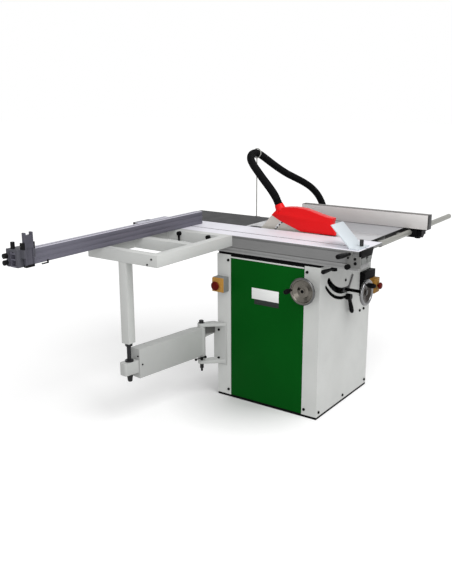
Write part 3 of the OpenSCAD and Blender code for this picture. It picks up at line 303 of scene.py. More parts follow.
def turned(name, profile, place, direction, sides=40):
    """A turned form: the profile is spun round its own axis, then stood along a direction."""
    bpy.ops.object.select_all(action="DESELECT")
    bpy.ops.mesh.primitive_circle_add(vertices=sides, radius=profile[0][0], fill_type="NGON")
    piece = bpy.context.object
    piece.name = name
    bpy.ops.object.mode_set(mode="EDIT")
    bpy.ops.mesh.select_all(action="SELECT")
    bpy.ops.transform.translate(value=(0, 0, profile[0][1]))
    for (r0, z0), (r1, z1) in zip(profile, profile[1:]):
        bpy.ops.mesh.extrude_region_move(TRANSFORM_OT_translate={"value": (0, 0, z1 - z0)})
        ratio = r1 / r0
        bpy.ops.transform.resize(value=(ratio, ratio, 1), center_override=(0, 0, z1))
    bpy.ops.mesh.select_all(action="SELECT")
    bpy.ops.mesh.normals_make_consistent(inside=False)
    bpy.ops.object.mode_set(mode="OBJECT")
    piece.rotation_euler = Vector(direction).to_track_quat("Z", "Y").to_euler()
    piece.location = place
    settle(piece)
    bpy.ops.object.shade_smooth_by_angle(angle=math.radians(35))
    return piece


def join(name, pieces):
    only(pieces[0])
    for piece in pieces[1:]:
        piece.select_set(True)
    if len(pieces) > 1:
        bpy.ops.object.join()
    whole = bpy.context.object
    whole.name = name
    whole.data.name = name
    return whole


def dress(piece, body, slot, finish, nodes=()):
    """Gives a finished piece its material and its body; the slot argument is not used."""
    piece.data.materials.clear()
    piece.data.materials.append(bpy.data.materials[finish])
    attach(piece, body)
    if nodes:
        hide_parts(*nodes)
    return piece


# Materials: shared grain groups, then one material per finish

def new_group(name, inputs, outputs):
    tree = bpy.data.node_groups.new(name, "ShaderNodeTree")
    kinds = {"C": "NodeSocketColor", "F": "NodeSocketFloat", "V": "NodeSocketVector"}
    for side, sockets in (("INPUT", inputs), ("OUTPUT", outputs)):
        for label, kind in sockets:
            tree.interface.new_socket(label, in_out=side, socket_type=kinds[kind])
    return tree, tree.nodes.new("NodeGroupInput"), tree.nodes.new("NodeGroupOutput")


def noise(tree, vector, scale, detail=3.0, rough=0.55):
    node = tree.nodes.new("ShaderNodeTexNoise")
    node.inputs["Detail"].default_value = detail
    node.inputs["Roughness"].default_value = rough
    if isinstance(scale, (int, float)):
        node.inputs["Scale"].default_value = scale
    else:
        tree.links.new(scale, node.inputs["Scale"])
    tree.links.new(vector, node.inputs["Vector"])
    return node.outputs["Fac"]


def remap(tree, value, low, high, out_low, out_high):
    node = tree.nodes.new("ShaderNodeMapRange")
    for key, number in (("From Min", low), ("From Max", high), ("To Min", out_low), ("To Max", out_high)):
        node.inputs[key].default_value = number
    tree.links.new(value, node.inputs["Value"])
    return node.outputs["Result"]


def math_node(tree, operation, first, second):
    node = tree.nodes.new("ShaderNodeMath")
    node.operation = operation
    for socket, value in zip(node.inputs, (first, second)):
        if isinstance(value, (int, float)):
            socket.default_value = value
        else:
            tree.links.new(value, socket)
    return node.outputs[0]


def shade(tree, colour, value):
    """Multiplies a colour by a value."""
    node = tree.nodes.new("ShaderNodeMix")
    node.data_type = "RGBA"
    node.blend_type = "MULTIPLY"
    node.inputs["Factor"].default_value = 1.0
    tree.links.new(colour, node.inputs["A"])
    tree.links.new(value, node.inputs["B"])
    return node.outputs["Result"]


def make_coat_group():
    """Powder coat and moulded plastic: fine peel, slow colour drift and uneven gloss."""
    tree, given, result = new_group(COAT, [("Color", "C"), ("Peel", "F"), ("Gloss", "F")],
                                    [("Color", "C"), ("Roughness", "F"), ("Height", "F")])
    place = tree.nodes.new("ShaderNodeTexCoord").outputs["Object"]
    drift = remap(tree, noise(tree, place, 4.0, 4.0), 0.3, 0.7, 0.93, 1.04)
    speck = remap(tree, noise(tree, place, 420.0, 1.0), 0.35, 0.65, 0.985, 1.015)
    tree.links.new(shade(tree, given.outputs["Color"], math_node(tree, "MULTIPLY", drift, speck)),
                   result.inputs["Color"])
    smear = remap(tree, noise(tree, place, 14.0, 5.0), 0.3, 0.7, -0.06, 0.06)
    tree.links.new(math_node(tree, "ADD", given.outputs["Gloss"], smear), result.inputs["Roughness"])
    tree.links.new(noise(tree, place, given.outputs["Peel"], 2.0), result.inputs["Height"])


def make_metal_group():
    """Ground, drawn and anodised metal: streaks along one direction over a slow drift."""
    tree, given, result = new_group(METAL, [("Color", "C"), ("Stretch", "V"), ("Gloss", "F"), ("Streak", "F")],
                                    [("Color", "C"), ("Roughness", "F"), ("Height", "F")])
    place = tree.nodes.new("ShaderNodeTexCoord").outputs["Object"]
    turn = tree.nodes.new("ShaderNodeMapping")
    tree.links.new(place, turn.inputs["Vector"])
    tree.links.new(given.outputs["Stretch"], turn.inputs["Scale"])
    streak = noise(tree, turn.outputs["Vector"], 1.0, 4.0, 0.65)
    centred = math_node(tree, "MULTIPLY", math_node(tree, "SUBTRACT", streak, 0.5), given.outputs["Streak"])
    drift = remap(tree, noise(tree, place, 3.0, 4.0), 0.3, 0.7, 0.9, 1.06)
    tint = math_node(tree, "MULTIPLY", drift, math_node(tree, "ADD", centred, 1.0))
    tree.links.new(shade(tree, given.outputs["Color"], tint), result.inputs["Color"])
    tree.links.new(math_node(tree, "ADD", given.outputs["Gloss"], math_node(tree, "MULTIPLY", centred, 0.5)),
                   result.inputs["Roughness"])
    tree.links.new(streak, result.inputs["Height"])


def new_finish(name, group, colour, gloss, bump, depth, metallic=0.0, specular=0.5, **values):
    """A material whose colour, roughness and bump come from a grain group."""
    material = bpy.data.materials.new(name)
    material.use_nodes = True
    tree = material.node_tree
    shader = tree.nodes["Principled BSDF"]
    grain = tree.nodes.new("ShaderNodeGroup")
    grain.node_tree = bpy.data.node_groups[group]
    grain.inputs["Color"].default_value = (*colour, 1.0)
    grain.inputs["Gloss"].default_value = gloss
    for key, value in values.items():
        grain.inputs[key.title()].default_value = value
    relief = tree.nodes.new("ShaderNodeBump")
    relief.inputs["Strength"].default_value = bump
    relief.inputs["Distance"].default_value = depth
    shader.inputs["Metallic"].default_value = metallic
    shader.inputs["Specular IOR Level"].default_value = specular
    tree.links.new(grain.outputs["Color"], shader.inputs["Base Color"])
    tree.links.new(grain.outputs["Roughness"], shader.inputs["Roughness"])
    tree.links.new(grain.outputs["Height"], relief.inputs["Height"])
    tree.links.new(relief.outputs["Normal"], shader.inputs["Normal"])
    return material


def zone(material, colour, *limits):
    """Paints the grain where every limit holds. A limit is an axis or an axis line, above or below, and a value.
    A pair of values makes the paint fade in from the first to the second."""
    tree = material.node_tree
    grain = next(node for node in tree.nodes if node.type == "GROUP")
    place = tree.nodes.new("ShaderNodeTexCoord").outputs["Object"]
    parts = tree.nodes.new("ShaderNodeSeparateXYZ")
    tree.links.new(place, parts.inputs["Vector"])
    mask = 1.0
    for measure, way, limit in limits:
        if isinstance(measure, str):
            value = parts.outputs[measure]
        else:
            value = distance_from_line(tree, place, *measure)
        if isinstance(limit, tuple):
            test = remap(tree, value, *limit, 0, 1)
        else:
            test = math_node(tree, "GREATER_THAN" if way == "above" else "LESS_THAN", value, limit)
        mask = math_node(tree, "MULTIPLY", mask, test)
    mix = tree.nodes.new("ShaderNodeMix")
    mix.data_type = "RGBA"
    mix.inputs["A"].default_value = grain.inputs["Color"].default_value
    if grain.inputs["Color"].is_linked:
        tree.links.new(grain.inputs["Color"].links[0].from_socket, mix.inputs["A"])
    mix.inputs["B"].default_value = (*colour, 1.0)
    tree.links.new(mask, mix.inputs["Factor"])
    tree.links.new(mix.outputs["Result"], grain.inputs["Color"])
    return material


def distance_from_line(tree, place, point, across):
    """Distance from a line through a point; across is one on the two axes that count."""
    offset = tree.nodes.new("ShaderNodeVectorMath")
    offset.operation = "SUBTRACT"
    tree.links.new(place, offset.inputs[0])
    offset.inputs[1].default_value = point
    flat = tree.nodes.new("ShaderNodeVectorMath")
    flat.operation = "MULTIPLY"
    tree.links.new(offset.outputs["Vector"], flat.inputs[0])
    flat.inputs[1].default_value = across
    size = tree.nodes.new("ShaderNodeVectorMath")
    size.operation = "LENGTH"
    tree.links.new(flat.outputs["Vector"], size.inputs[0])
    return size.outputs["Value"]


def tone(colour, level):
    """A colour at another level."""
    return [level * part for part in colour]


class SAW_OT_finishes(bpy.types.Operator):
    """Makes the finishes and gives them to the solids that stay in view"""

    bl_idname = "saw.finishes"
    bl_label = "Finishes"

    def coats(self, paint):
        white = dict(gloss=0.45, specular=0.3, **POWDER)
        new_finish("white_coat", COAT, paint.white, **white)
        # Painted shade: the outrigger coat is a darker copy of the white coat.
        new_finish("outrigger_coat_painted_shade", COAT, tone(paint.white, 0.92), **white)
        # Painted shade: the sleeve coat is a darker copy of the white coat.
        new_finish("sleeve_coat_painted_shade", COAT, tone(paint.white, 0.7), **white)
        # Painted shade: the arm coat is a darker copy of the white coat; its black zones are parts in their own
        # colour.
        arm = new_finish("arm_coat_painted_shade", COAT, tone(paint.white, 0.78), **white)
        pin = ((HINGE, (1, 1, 0)), "below", 0.0172)
        zone(arm, BLACK, ("Z", "below", 0.1835), pin)
        zone(arm, BLACK, ("Z", "above", 0.4022), pin)
        zone(arm, BLACK, ("Z", "below", 0.2658), ("X", "below", -0.7))
        # Painted shadow: the gusset is a darker copy of the white coat and darkens further towards its top, under
        # the lug.
        gusset = new_finish("gusset_painted_shadow", COAT, tone(paint.white, 0.85), **white)
        zone(gusset, (0.1, 0.1, 0.095), ("Z", "above", (0.324, 0.343)))
        new_finish("green_coat", COAT, paint.green, gloss=0.5, bump=0.14, depth=0.0004, specular=0.03, peel=420)
        new_finish("black_coat", COAT, BLACK, gloss=0.5, bump=0.12, depth=0.0004, specular=SOFT, peel=500)
        extension = new_finish("extension_coat", COAT, (0.36, 0.36, 0.375), **white)
        zone(extension, BLACK, ("Y", "below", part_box("main_table")[0][1] + 0.001))
        new_finish("dark_coat", COAT, (0.065, 0.065, 0.067), gloss=0.6, specular=0.06, **POWDER)
        stop = new_finish("stop_coat", COAT, (0.085, 0.085, 0.1), gloss=0.5, specular=0.1, **POWDER)
        low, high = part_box("stop_block")
        zone(stop, BLACK, ("Z", "above", high[2] - 0.0278))
        zone(stop, BLACK, ("X", "below", low[0] + 0.0158))
        new_finish("raw_casting", COAT, (0.13, 0.135, 0.14), gloss=0.6, bump=0.5, depth=0.001, peel=160)

    def plastics(self, paint):
        new_finish("moulded_black", COAT, BLACK, gloss=0.45, specular=SOFT, **MOULDED)
        cap = new_finish("moulded_cap", COAT, BLACK, gloss=0.5, specular=SOFT, **MOULDED)
        zone(cap, (0.22, 0.225, 0.22), ("Z", "below", 0.828))
        handle = new_finish("handle_black", COAT, BLACK, gloss=0.45, specular=SOFT, **MOULDED)
        zone(handle, (0.2, 0.2, 0.195), ("X", "above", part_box("carriage")[0][0] - 0.0102))
        new_finish("hose_vinyl", COAT, BLACK, gloss=0.5, bump=0.12, depth=0.0003, specular=SOFT, peel=700)
        new_finish("flat_belt", COAT, (0.012, 0.012, 0.012), gloss=0.7, bump=0.2, depth=0.0003, peel=900)
        new_finish("cage_plastic", COAT, (0.4, 0.28, 0.1), gloss=0.45, bump=0.1, depth=0.0003, peel=500)
        new_finish("button_red", COAT, (0.1, 0.0035, 0.0015), gloss=0.35, specular=0.08, **SMOOTH)
        new_finish("red_guard", COAT, paint.red, gloss=0.35, bump=0.06, depth=0.0004, specular=0.15, peel=260)
        new_finish("plate_white", COAT, (0.82, 0.83, 0.82), gloss=0.35, **SMOOTH)
        new_finish("plate_dark", COAT, (0.035, 0.04, 0.038), gloss=0.35, specular=SOFT, **SMOOTH)
        side_box = new_finish("box_side_switch", COAT, (0.22, 0.225, 0.22), gloss=0.45, specular=0.3, **HOUSING)
        zone(side_box, paint.yellow, ("X", "below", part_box("estop_box")[0][0] + 0.0125))
        front_box = new_finish("box_front_switch_painted_shade", COAT, BLACK, gloss=0.45, specular=SOFT, **HOUSING)
        # The yellow cover is the switch's own colour, set at a lower level as painted shade.
        zone(front_box, tone(paint.yellow, 0.62), ("Y", "below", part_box("switch_box")[0][1] + 0.0312))

    def plain_metals(self):
        low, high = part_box("main_table")
        iron = new_finish("ground_iron", METAL, (0.56, 0.56, 0.58), gloss=0.32, bump=0.06, depth=0.0003,
                          metallic=0.7, stretch=ALONG_Y, streak=0.35)
        zone(iron, (0.1, 0.1, 0.105), ("Z", "below", high[2] - 0.003))
        zone(iron, BLACK, ("Y", "below", low[1] + 0.001))
        new_finish("bright_steel", METAL, (0.62, 0.63, 0.65), gloss=0.26, metallic=1.0, **STEEL)
        new_finish("drawn_steel", METAL, (0.3, 0.3, 0.275), gloss=0.38, metallic=0.35, specular=0.3, **STEEL)
        new_finish("pointer_steel", METAL, (0.07, 0.071, 0.075), gloss=0.4, metallic=0.3, **STEEL)
        new_finish("screw_steel", METAL, DARK, gloss=0.4, bump=0.1, depth=0.0003, metallic=0.5, specular=SOFT,
                   stretch=(200, 200, 900), streak=0.3)
        pale = dict(colour=(0.68, 0.65, 0.59), gloss=0.45, metallic=0.25, **POLISHED)
        new_finish("knife_steel", METAL, **pale)
        blade = new_finish("blade_steel", METAL, **pale)
        zone(blade, DARK, (((0, -0.01, 0.7755), (0, 1, 1)), "above", 0.1485))
        # Painted reflection: the chrome's dark dish colour and its rim ring in another tone stand in for what the
        # dish reflects; the black hub is its own colour.
        for name, centre, across, painted_dish_reflection, rim, rim_start in (
                ("front_wheel_chrome_painted_reflection", WHEEL_CENTRE, (1, 0, 1), (0.035, 0.03, 0.027), (0.19, 0.19, 0.195), 0.05),
                ("side_wheel_chrome_painted_reflection", (0, -0.235, 0.654), (0, 1, 1), (0.13, 0.12, 0.105), (0.1, 0.1, 0.1), 0.0585)):
            wheel = new_finish(name, METAL, painted_dish_reflection, gloss=0.22, metallic=1.0, **POLISHED)
            zone(wheel, rim, ((centre, across), "above", rim_start))
            zone(wheel, BLACK, ((centre, across), "below", 0.0085))

    def anodised_metals(self, paint):
        slide = new_finish("carriage_anodised_painted_light", METAL, (0.22, 0.22, 0.22), gloss=0.5, metallic=0.1, specular=0.1,
                           **EXTRUDED)
        # Painted light: the carriage's top face is far lighter than its sides, which keep the grey anodised colour.
        top = ("Z", "above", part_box("carriage")[1][2] - 0.0008)
        zone(slide, (0.82, 0.81, 0.87), top)
        # Painted shade: the top darkens towards the rear, behind the fence.
        zone(slide, (0.5, 0.5, 0.57), top, ("Y", "above", (0.52, 0.68)))
        new_finish("rail_anodised", METAL, (0.3, 0.3, 0.3), gloss=0.5, metallic=0.3, specular=0.3, **EXTRUDED)
        rip = new_finish("rip_anodised", METAL, (0.58, 0.565, 0.555), gloss=0.45, metallic=0.2, **EXTRUDED)
        low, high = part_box("rip_fence")
        zone(rip, (0.13, 0.12, 0.115), ("Z", "above", high[2] - 0.0012))
        zone(rip, BLACK, ("Y", "below", low[1] + 0.0042))
        shoe = new_finish("shoe_anodised", METAL, (0.6, 0.65, 0.69), gloss=0.45, metallic=0.3, **EXTRUDED)
        zone(shoe, BLACK, ("Z", "above", 0.8665), (((-0.19, -0.45, 0), (1, 1, 0)), "below", 0.0095))
        profile = dict(gloss=0.45, bump=0.06, depth=0.0002, metallic=0.35, specular=0.2, stretch=ALONG_X, streak=0.3)
        fence = new_finish("grey_anodised_painted_light", METAL, paint.fence, **profile)
        # Painted light: the fence's top face is far lighter than its sides.
        zone(fence, (0.5, 0.49, 0.56), ("Z", "above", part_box("crosscut_fence")[1][2] - 0.001))
        flip = new_finish("stop_anodised", METAL, tone(paint.fence, 0.62), **profile)
        zone(flip, BLACK, ("Z", "below", 0.872))

    def execute(self, context):
        paint = context.scene.saw_paint
        make_coat_group()
        make_metal_group()
        self.coats(paint)
        self.plastics(paint)
        self.plain_metals()
        self.anodised_metals(paint)
        for finish, nodes in FINISHES.items():
            for node in nodes:
                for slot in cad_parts[node].material_slots:
                    slot.material = bpy.data.materials[finish]
        return {"FINISHED"}


class SAW_OT_eased_forms(bpy.types.Operator):
    """Shows castings, tubes and profiles with eased edges"""

    bl_idname = "saw.eased_forms"
    bl_label = "Eased forms"

    def execute(self, context):
        for node, body, slot, finish, radius in EASED:
            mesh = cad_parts[node].data.copy()
            piece = bpy.data.objects.new(node + "_eased", mesh)
            context.scene.collection.objects.link(piece)
            only(piece)
            bpy.ops.object.mode_set(mode="EDIT")
            bpy.ops.mesh.select_all(action="SELECT")
            bpy.ops.mesh.customdata_custom_splitnormals_clear()
            bpy.ops.mesh.remove_doubles(threshold=0.00002)
            bpy.ops.mesh.dissolve_limited(angle_limit=math.radians(0.5))
            bpy.ops.object.mode_set(mode="OBJECT")
            for move in MOVED.get(node, []):
                move_part(piece, *move)
            if node in WHEEL_NODES:
                piece.matrix_world = (Matrix.Translation(WHEEL_CENTRE) @ Matrix.Rotation(WHEEL_TURN, 4, "Y")
                                      @ Matrix.Translation(-WHEEL_CENTRE))
                settle(piece)
            ease(piece, radius)
            dress(piece, body, slot, finish, [node])
        return {"FINISHED"}


# Hose

def smooth_route(points, steps):
    """Points along a smooth curve through the route, the same curve as the solid's."""
    last = len(points) - 1
    found = []
    for i in range(last):
        a, b, c, d = (Vector(points[max(0, min(last, i + k))]) for k in (-1, 0, 1, 2))
        for step in range(steps):
            t = step / steps
            found.append(0.5 * (2 * b + (c - a) * t + (2 * a - 5 * b + 4 * c - d) * t * t
                                + (3 * b - a - 3 * c + d) * t * t * t))
    return found + [Vector(points[last])]


def even_points(line, spacing):
    """The line again with evenly spaced points."""
    runs = [0.0]
    for a, b in zip(line, line[1:]):
        runs.append(runs[-1] + (b - a).length)
    count = max(2, round(runs[-1] / spacing))
    found, k = [], 0
    for i in range(count + 1):
        want = runs[-1] * i / count
        while k < len(line) - 2 and runs[k + 1] < want:
            k += 1
        t = (want - runs[k]) / max(runs[k + 1] - runs[k], 1e-9)
        found.append(line[k].lerp(line[k + 1], min(max(t, 0), 1)))
    return found, runs[-1]


def hose_tube(name, line, start_run, settings, sides=24, per_rib=6):
    """A ribbed tube with an open bore along a line; the ribs keep their phase along the whole hose."""
    spacing = settings.rib_pitch / per_rib
    points, length = even_points(line, spacing)
    vertices, faces = [], []
    side = Vector((1, 0, 0))
    bore = settings.diameter / 2 - settings.rib_height - HOSE_WALL
    rows = []
    for i, point in enumerate(points):
        ahead = points[min(i + 1, len(points) - 1)] - points[max(i - 1, 0)]
        ahead.normalize()
        side = (side - ahead * side.dot(ahead)).normalized()
        up = ahead.cross(side)
        run = start_run + length * i / (len(points) - 1)
        wave = 0.5 - 0.5 * math.cos(2 * math.pi * run / settings.rib_pitch)
        radius = settings.diameter / 2 - settings.rib_height * (1 - wave ** 0.6)
        rows.append((point, side.copy(), up, radius))
    stations = rows + [(p, s, u, bore) for p, s, u, r in reversed(rows[::per_rib] + [rows[-1]])]
    for point, across, up, radius in stations:
        for k in range(sides):
            angle = 2 * math.pi * k / sides
            vertices.append(point + radius * (math.cos(angle) * across + math.sin(angle) * up))
    total = len(stations)
    for i in range(total):
        n = (i + 1) % total
        for k in range(sides):
            m = (k + 1) % sides
            faces.append((i * sides + k, i * sides + m, n * sides + m, n * sides + k))
    mesh = bpy.data.meshes.new(name)
    mesh.from_pydata([tuple(v) for v in vertices], [], faces)
    mesh.update()
    piece = bpy.data.objects.new(name, mesh)
    bpy.context.scene.collection.objects.link(piece)
    only(piece)
    bpy.ops.object.mode_set(mode="EDIT")
    bpy.ops.mesh.select_all(action="SELECT")
    bpy.ops.mesh.normals_make_consistent(inside=False)
    bpy.ops.object.mode_set(mode="OBJECT")
    bpy.ops.object.shade_smooth_by_angle(angle=math.radians(60))
    return piece, points, length


class SAW_OT_hose(bpy.types.Operator):
    """Makes the ribbed dust hose: two short sleeves, the guard leg and the drop leg"""

    bl_idname = "saw.hose"
    bl_label = "Dust hose"

    def execute(self, context):
        settings = context.scene.saw_hose
        line = smooth_route(HOSE_ROUTE, ROUTE_STEPS)
        run = 0.0
        made = []
        for name, first, last, body, onward in HOSE_SECTIONS:
            part = line[first * ROUTE_STEPS:last * ROUTE_STEPS + 1]
            piece, points, length = hose_tube(name, part, run, settings)
            run += length
            dress(piece, body, "hose_plastic", "hose_vinyl",
                  ["hose_drop_leg" if onward is None else "hose_guard_leg"])
            if onward:
                piece.parent = None
                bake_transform(piece)
            made.append((piece, points, length))
        sleeves = [piece for piece, points, length in made[:2]]
        for k, joined in ((2, sleeves), (3, [])):
            piece, points, length = made[k]
        return {"FINISHED"}


# Trim

class SAW_OT_cap_screws(bpy.types.Operator):
    """Makes the black cap screws of the cabinet sheets"""

    bl_idname = "saw.cap_screws"
    bl_label = "Cap screws"

    def execute(self, context):
        trim = context.scene.saw_trim
        low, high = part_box("front_panel")
        left, front, right = low[0], low[1], high[0]
        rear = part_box("rear_panel")[1][1]
        r, h = trim.screw_diameter / 2, trim.screw_height
        head = [(r, 0), (r, h * 0.55), (r * 0.9, h * 0.85), (r * 0.72, h), (r * 0.5, h), (r * 0.48, h * 0.45)]
        return_width, door_edge, side_edge = 0.082, 0.014, 0.022
        row = (rear - front) / 2 - return_width + door_edge
        places = [((left, y, z), LEFT) for y in (-row, row) for z in (0.04, 0.732)]
        places += [((x, front, 0.034), FRONT) for x in (left + side_edge, 0, right - side_edge)]
        places += [((x, front, 0.448), FRONT) for x in (0.163, 0.209)]
        screws = [turned("screw", head, place, way, 24) for place, way in places]
        dress(join("panel_cap_screws", screws), "frame", **BLACK_PIECE, nodes=["panel_screws"])
        return {"FINISHED"}


class SAW_OT_small_fittings(bpy.types.Operator):
    """Makes bolts, screws and other small pieces of the arm, the outrigger, the fence, the switch and the door"""

    bl_idname = "saw.small_fittings"
    bl_label = "Small fittings"

    def bolts(self, name, body, look, radius, height, places):
        profile = [(radius, 0), (radius, height * 0.7), (radius * 0.82, height), (radius * 0.4, height)]
        heads = [turned("head", profile, place, way, 18) for place, way in places]
        dress(join(name, heads), body, **look)

    def rod(self, start, end, radius):
        start, end = Vector(start), Vector(end)
        return turned("rod", [(radius, 0), (radius, (end - start).length)], start, end - start, 16)

    def bolt_heads(self, door):
        plate = door - 0.008
        self.bolts("arm_bracket_bolts", "frame", BLACK_PIECE, 0.0065, 0.006,
                   [((plate, 0.279, 0.359), LEFT), ((plate, 0.281, 0.205), LEFT)])
        self.bolts("arm_end_bolts", "swing", BLACK_PIECE, 0.004, 0.004,
                   [(HINGE + ARM_REACH * 0.424 + ARM_SIDE * 0.03 + UP * 0.303, ARM_SIDE),
                    (HINGE + ARM_REACH * 0.44 + ARM_SIDE * 0.02 + UP * 0.345, ARM_REACH)])
        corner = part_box("outrigger_frame")[0][0]
        self.bolts("outrigger_screws", "slider", STEEL_PIECE, 0.0045, 0.004,
                   [((corner, 0.257, 0.814), LEFT), ((corner, 0.2325, 0.841), LEFT)])
        self.bolts("panel_plug", "frame", BLACK_PIECE, 0.007, 0.004,
                   [((-0.0135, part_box("front_panel")[0][1], 0.6475), FRONT)])

    def hinge_pieces(self):
        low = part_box("arm_bracket")[0][2]
        tip = self.rod((HINGE.x, HINGE.y, low + 0.002), (HINGE.x, HINGE.y, low - 0.016), 0.0055)
        dress(join("hinge_pin_tip", [tip]), "frame", **BLACK_PIECE)
        facing, across = Vector((-0.795, -0.607, 0)), Vector((0.607, -0.795, 0))
        hub = HINGE + facing * 0.0195 + UP * 0.216
        bar = hub + facing * 0.011
        ends = [bar - across * 0.036 - UP * 0.004, bar + across * 0.024 + UP * 0.014]
        pieces = [turned("hub", [(0.008, 0), (0.008, 0.013), (0.006, 0.016)], hub, facing, 20),
                  self.rod(*ends, 0.0028)]
        pieces += [self.rod(end - (end - bar).normalized() * 0.012, end, 0.006) for end in ends]
        dress(join("hinge_screw", pieces), "swing", **BLACK_PIECE)

    def clip(self):
        bars = [block("clip", (-1.182, 0.516, 0.852), (-1.176, 0.522, 0.868), 0.001),
                block("clip", (-1.212, 0.516, 0.852), (-1.178, 0.522, 0.857), 0.001)]
        dress(join("fence_clip", bars), "crosscut", **BLACK_PIECE)

    def gusset(self):
        foot = Vector((-0.2875, 0.306, 0))
        run = (HINGE - foot).length - 0.0225
        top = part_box("arm_bracket")[1][2] - 0.031
        plate = block("lug_gusset", (0, -0.002, 0.322), (run, 0.002, top), 0.0004)
        move_part(plate, (-1, -1, 0), (0.01, 1, 0.33), (0, 0, 0.016))
        plate.rotation_euler.z = math.atan2(HINGE.y - foot.y, HINGE.x - foot.x)
        plate.location = foot
        # The gusset's finish carries the painted shadow of the lug above it.
        dress(settle(plate), "frame", "white_paint", "gusset_painted_shadow")

    def button(self):
        (_, y0, z0), (inner, y1, z1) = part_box("estop_button")
        profile = [(0.006, 0), (0.006, 0.027), (0.014, 0.027), (0.023, 0.0325), (0.023, 0.036), (0.019, 0.041),
                   (0.009, 0.043)]
        head = turned("estop_mushroom", profile, (inner, (y0 + y1) / 2, (z0 + z1) / 2), LEFT)
        dress(head, "estop", "red_plastic", "button_red", ["estop_button"])

    def execute(self, context):
        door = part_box("side_door")[0][0]
        self.bolt_heads(door)
        self.hinge_pieces()
        self.clip()
        self.gusset()
        self.button()
        strip = block("door_top_strip", (door - 0.0012, -0.208, 0.7455), (door, 0.208, 0.7525), 0.0004)
        dress(strip, "frame", "white_paint", "white_coat")
        return {"FINISHED"}


class SAW_OT_door_plates(bpy.types.Operator):
    """Puts the bare white and dark plates on the side door"""

    bl_idname = "saw.door_plates"
    bl_label = "Door plates"

    def execute(self, context):
        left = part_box("side_door")[0][0]
        t = context.scene.saw_trim.plate_thickness
        white = block("door_plate_white", (left - t, -0.072, 0.556), (left, 0.083, 0.612), 0.0004)
        dress(white, "frame", "white_paint", "plate_white")
        dark = block("door_plate_dark", (left - t * 0.8, -0.072, 0.53), (left, 0.068, 0.5555), 0.0004)
        dress(dark, "frame", "black_paint", "plate_dark")
        return {"FINISHED"}


# Stage

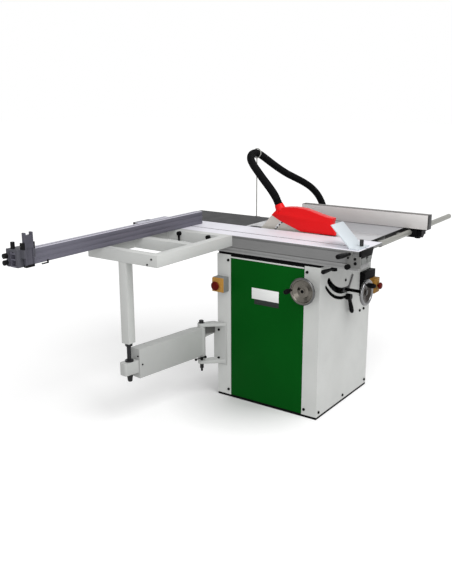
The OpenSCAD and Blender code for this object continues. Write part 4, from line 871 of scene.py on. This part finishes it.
class SAW_OT_stage(bpy.types.Operator):
    """Sets the floor, the light and the camera"""

    bl_idname = "saw.stage"
    bl_label = "Stage"

    def seen_rays(self, tree):
        """One where the ray shows the background: to the camera, or by gloss or through glass."""
        path = tree.nodes.new("ShaderNodeLightPath")
        seen = math_node(tree, "MAXIMUM", path.outputs["Is Camera Ray"], path.outputs["Is Glossy Ray"])
        return math_node(tree, "MAXIMUM", seen, path.outputs["Is Transmission Ray"])

    def lamp(self, name, power, size, place, target):
        bpy.ops.object.select_all(action="DESELECT")
        bpy.ops.object.light_add(type="AREA", location=place)
        lamp = bpy.context.object
        lamp.name = name
        lamp.data.energy = power
        lamp.data.size = size
        lamp.rotation_euler = (Vector(target) - Vector(place)).to_track_quat("-Z", "Y").to_euler()

    def floor(self):
        """A white floor that glows less near the saw, as the photo's soft shadow does."""
        bpy.ops.object.select_all(action="DESELECT")
        bpy.ops.mesh.primitive_plane_add(size=60)
        floor = bpy.context.object
        floor.name = "stage_floor"
        material = bpy.data.materials.new("stage_white")
        material.use_nodes = True
        tree = material.node_tree
        shader = tree.nodes["Principled BSDF"]
        shader.inputs["Base Color"].default_value = (0.7, 0.7, 0.7, 1)
        shader.inputs["Roughness"].default_value = 0.9
        shader.inputs["Specular IOR Level"].default_value = 0.0
        shader.inputs["Emission Color"].default_value = (1, 1, 1, 1)
        place = tree.nodes.new("ShaderNodeTexCoord").outputs["Object"]
        away = distance_from_line(tree, place, (-0.24, 0.12, 0), (1, 1, 0))
        near, far = remap(tree, away, 0.1, 0.45, -0.34, 0), remap(tree, away, 0.45, 3.5, 0.36, 0.68)
        glow = math_node(tree, "ADD", near, far)
        tree.links.new(math_node(tree, "MULTIPLY", self.seen_rays(tree), glow), shader.inputs["Emission Strength"])
        floor.data.materials.append(material)

    def sky(self, scene, ambient):
        """A white background that lights the saw at its own lower level."""
        world = bpy.data.worlds.new("stage_world")
        scene.world = world
        world.use_nodes = True
        tree = world.node_tree
        background = tree.nodes["Background"]
        background.inputs["Color"].default_value = (1, 1, 1, 1)
        level = remap(tree, self.seen_rays(tree), 0, 1, ambient, 1)
        tree.links.new(level, background.inputs["Strength"])

    def camera(self, scene):
        camera = bpy.data.cameras.new("photo_camera")
        camera.sensor_fit = "VERTICAL"
        camera.sensor_height = SENSOR_HEIGHT
        camera.lens = CAMERA_LENS
        eye = bpy.data.objects.new("photo_camera", camera)
        scene.collection.objects.link(eye)
        turn = (Matrix.Rotation(math.radians(CAMERA_HEADING), 3, "Z")
                @ Matrix.Rotation(math.radians(90 - CAMERA_FALL), 3, "X"))
        eye.rotation_euler = (turn @ Matrix.Rotation(math.radians(CAMERA_ROLL), 3, "Z")).to_euler()
        eye.location = CAMERA_PLACE
        scene.camera = eye

    def execute(self, context):
        scene = context.scene
        stage = scene.saw_stage
        scene.view_settings.view_transform = "Standard"
        self.floor()
        self.sky(scene, stage.ambient)
        self.lamp("key_light", stage.key_power, size=2.6, place=(-0.9, -2.6, 4.0), target=(-0.2, 0, 0.4))
        self.lamp("fill_light", stage.fill_power, size=3.0, place=(-4.2, -1.6, 2.2), target=(0, 0, 0.6))
        self.camera(scene)
        return {"FINISHED"}


STEPS = ["stage", "finishes", "eased_forms", "hose", "cap_screws", "small_fittings", "door_plates"]


class SAW_PT_panel(bpy.types.Panel):
    """Lists the steps that dress the saw"""

    bl_idname = "SAW_PT_panel"
    bl_label = "Sliding table saw"
    bl_space_type = "VIEW_3D"
    bl_region_type = "UI"
    bl_category = "Saw"

    def draw(self, context):
        for step in STEPS:
            self.layout.operator("saw." + step)


GROUPS = {"saw_paint": SawPaint, "saw_hose": SawHose, "saw_trim": SawTrim, "saw_stage": SawStage}
CLASSES = [*GROUPS.values(), SAW_OT_stage, SAW_OT_finishes, SAW_OT_eased_forms, SAW_OT_hose, SAW_OT_cap_screws,
           SAW_OT_small_fittings, SAW_OT_door_plates, SAW_PT_panel]


def register():
    for cls in CLASSES:
        bpy.utils.register_class(cls)
    for name, group in GROUPS.items():
        setattr(bpy.types.Scene, name, bpy.props.PointerProperty(type=group))


def unregister():
    for name in GROUPS:
        delattr(bpy.types.Scene, name)
    for cls in reversed(CLASSES):
        bpy.utils.unregister_class(cls)


def main():
    register()
    for step in STEPS:
        getattr(bpy.ops.saw, step)()


if __name__ == "__main__":
    main()
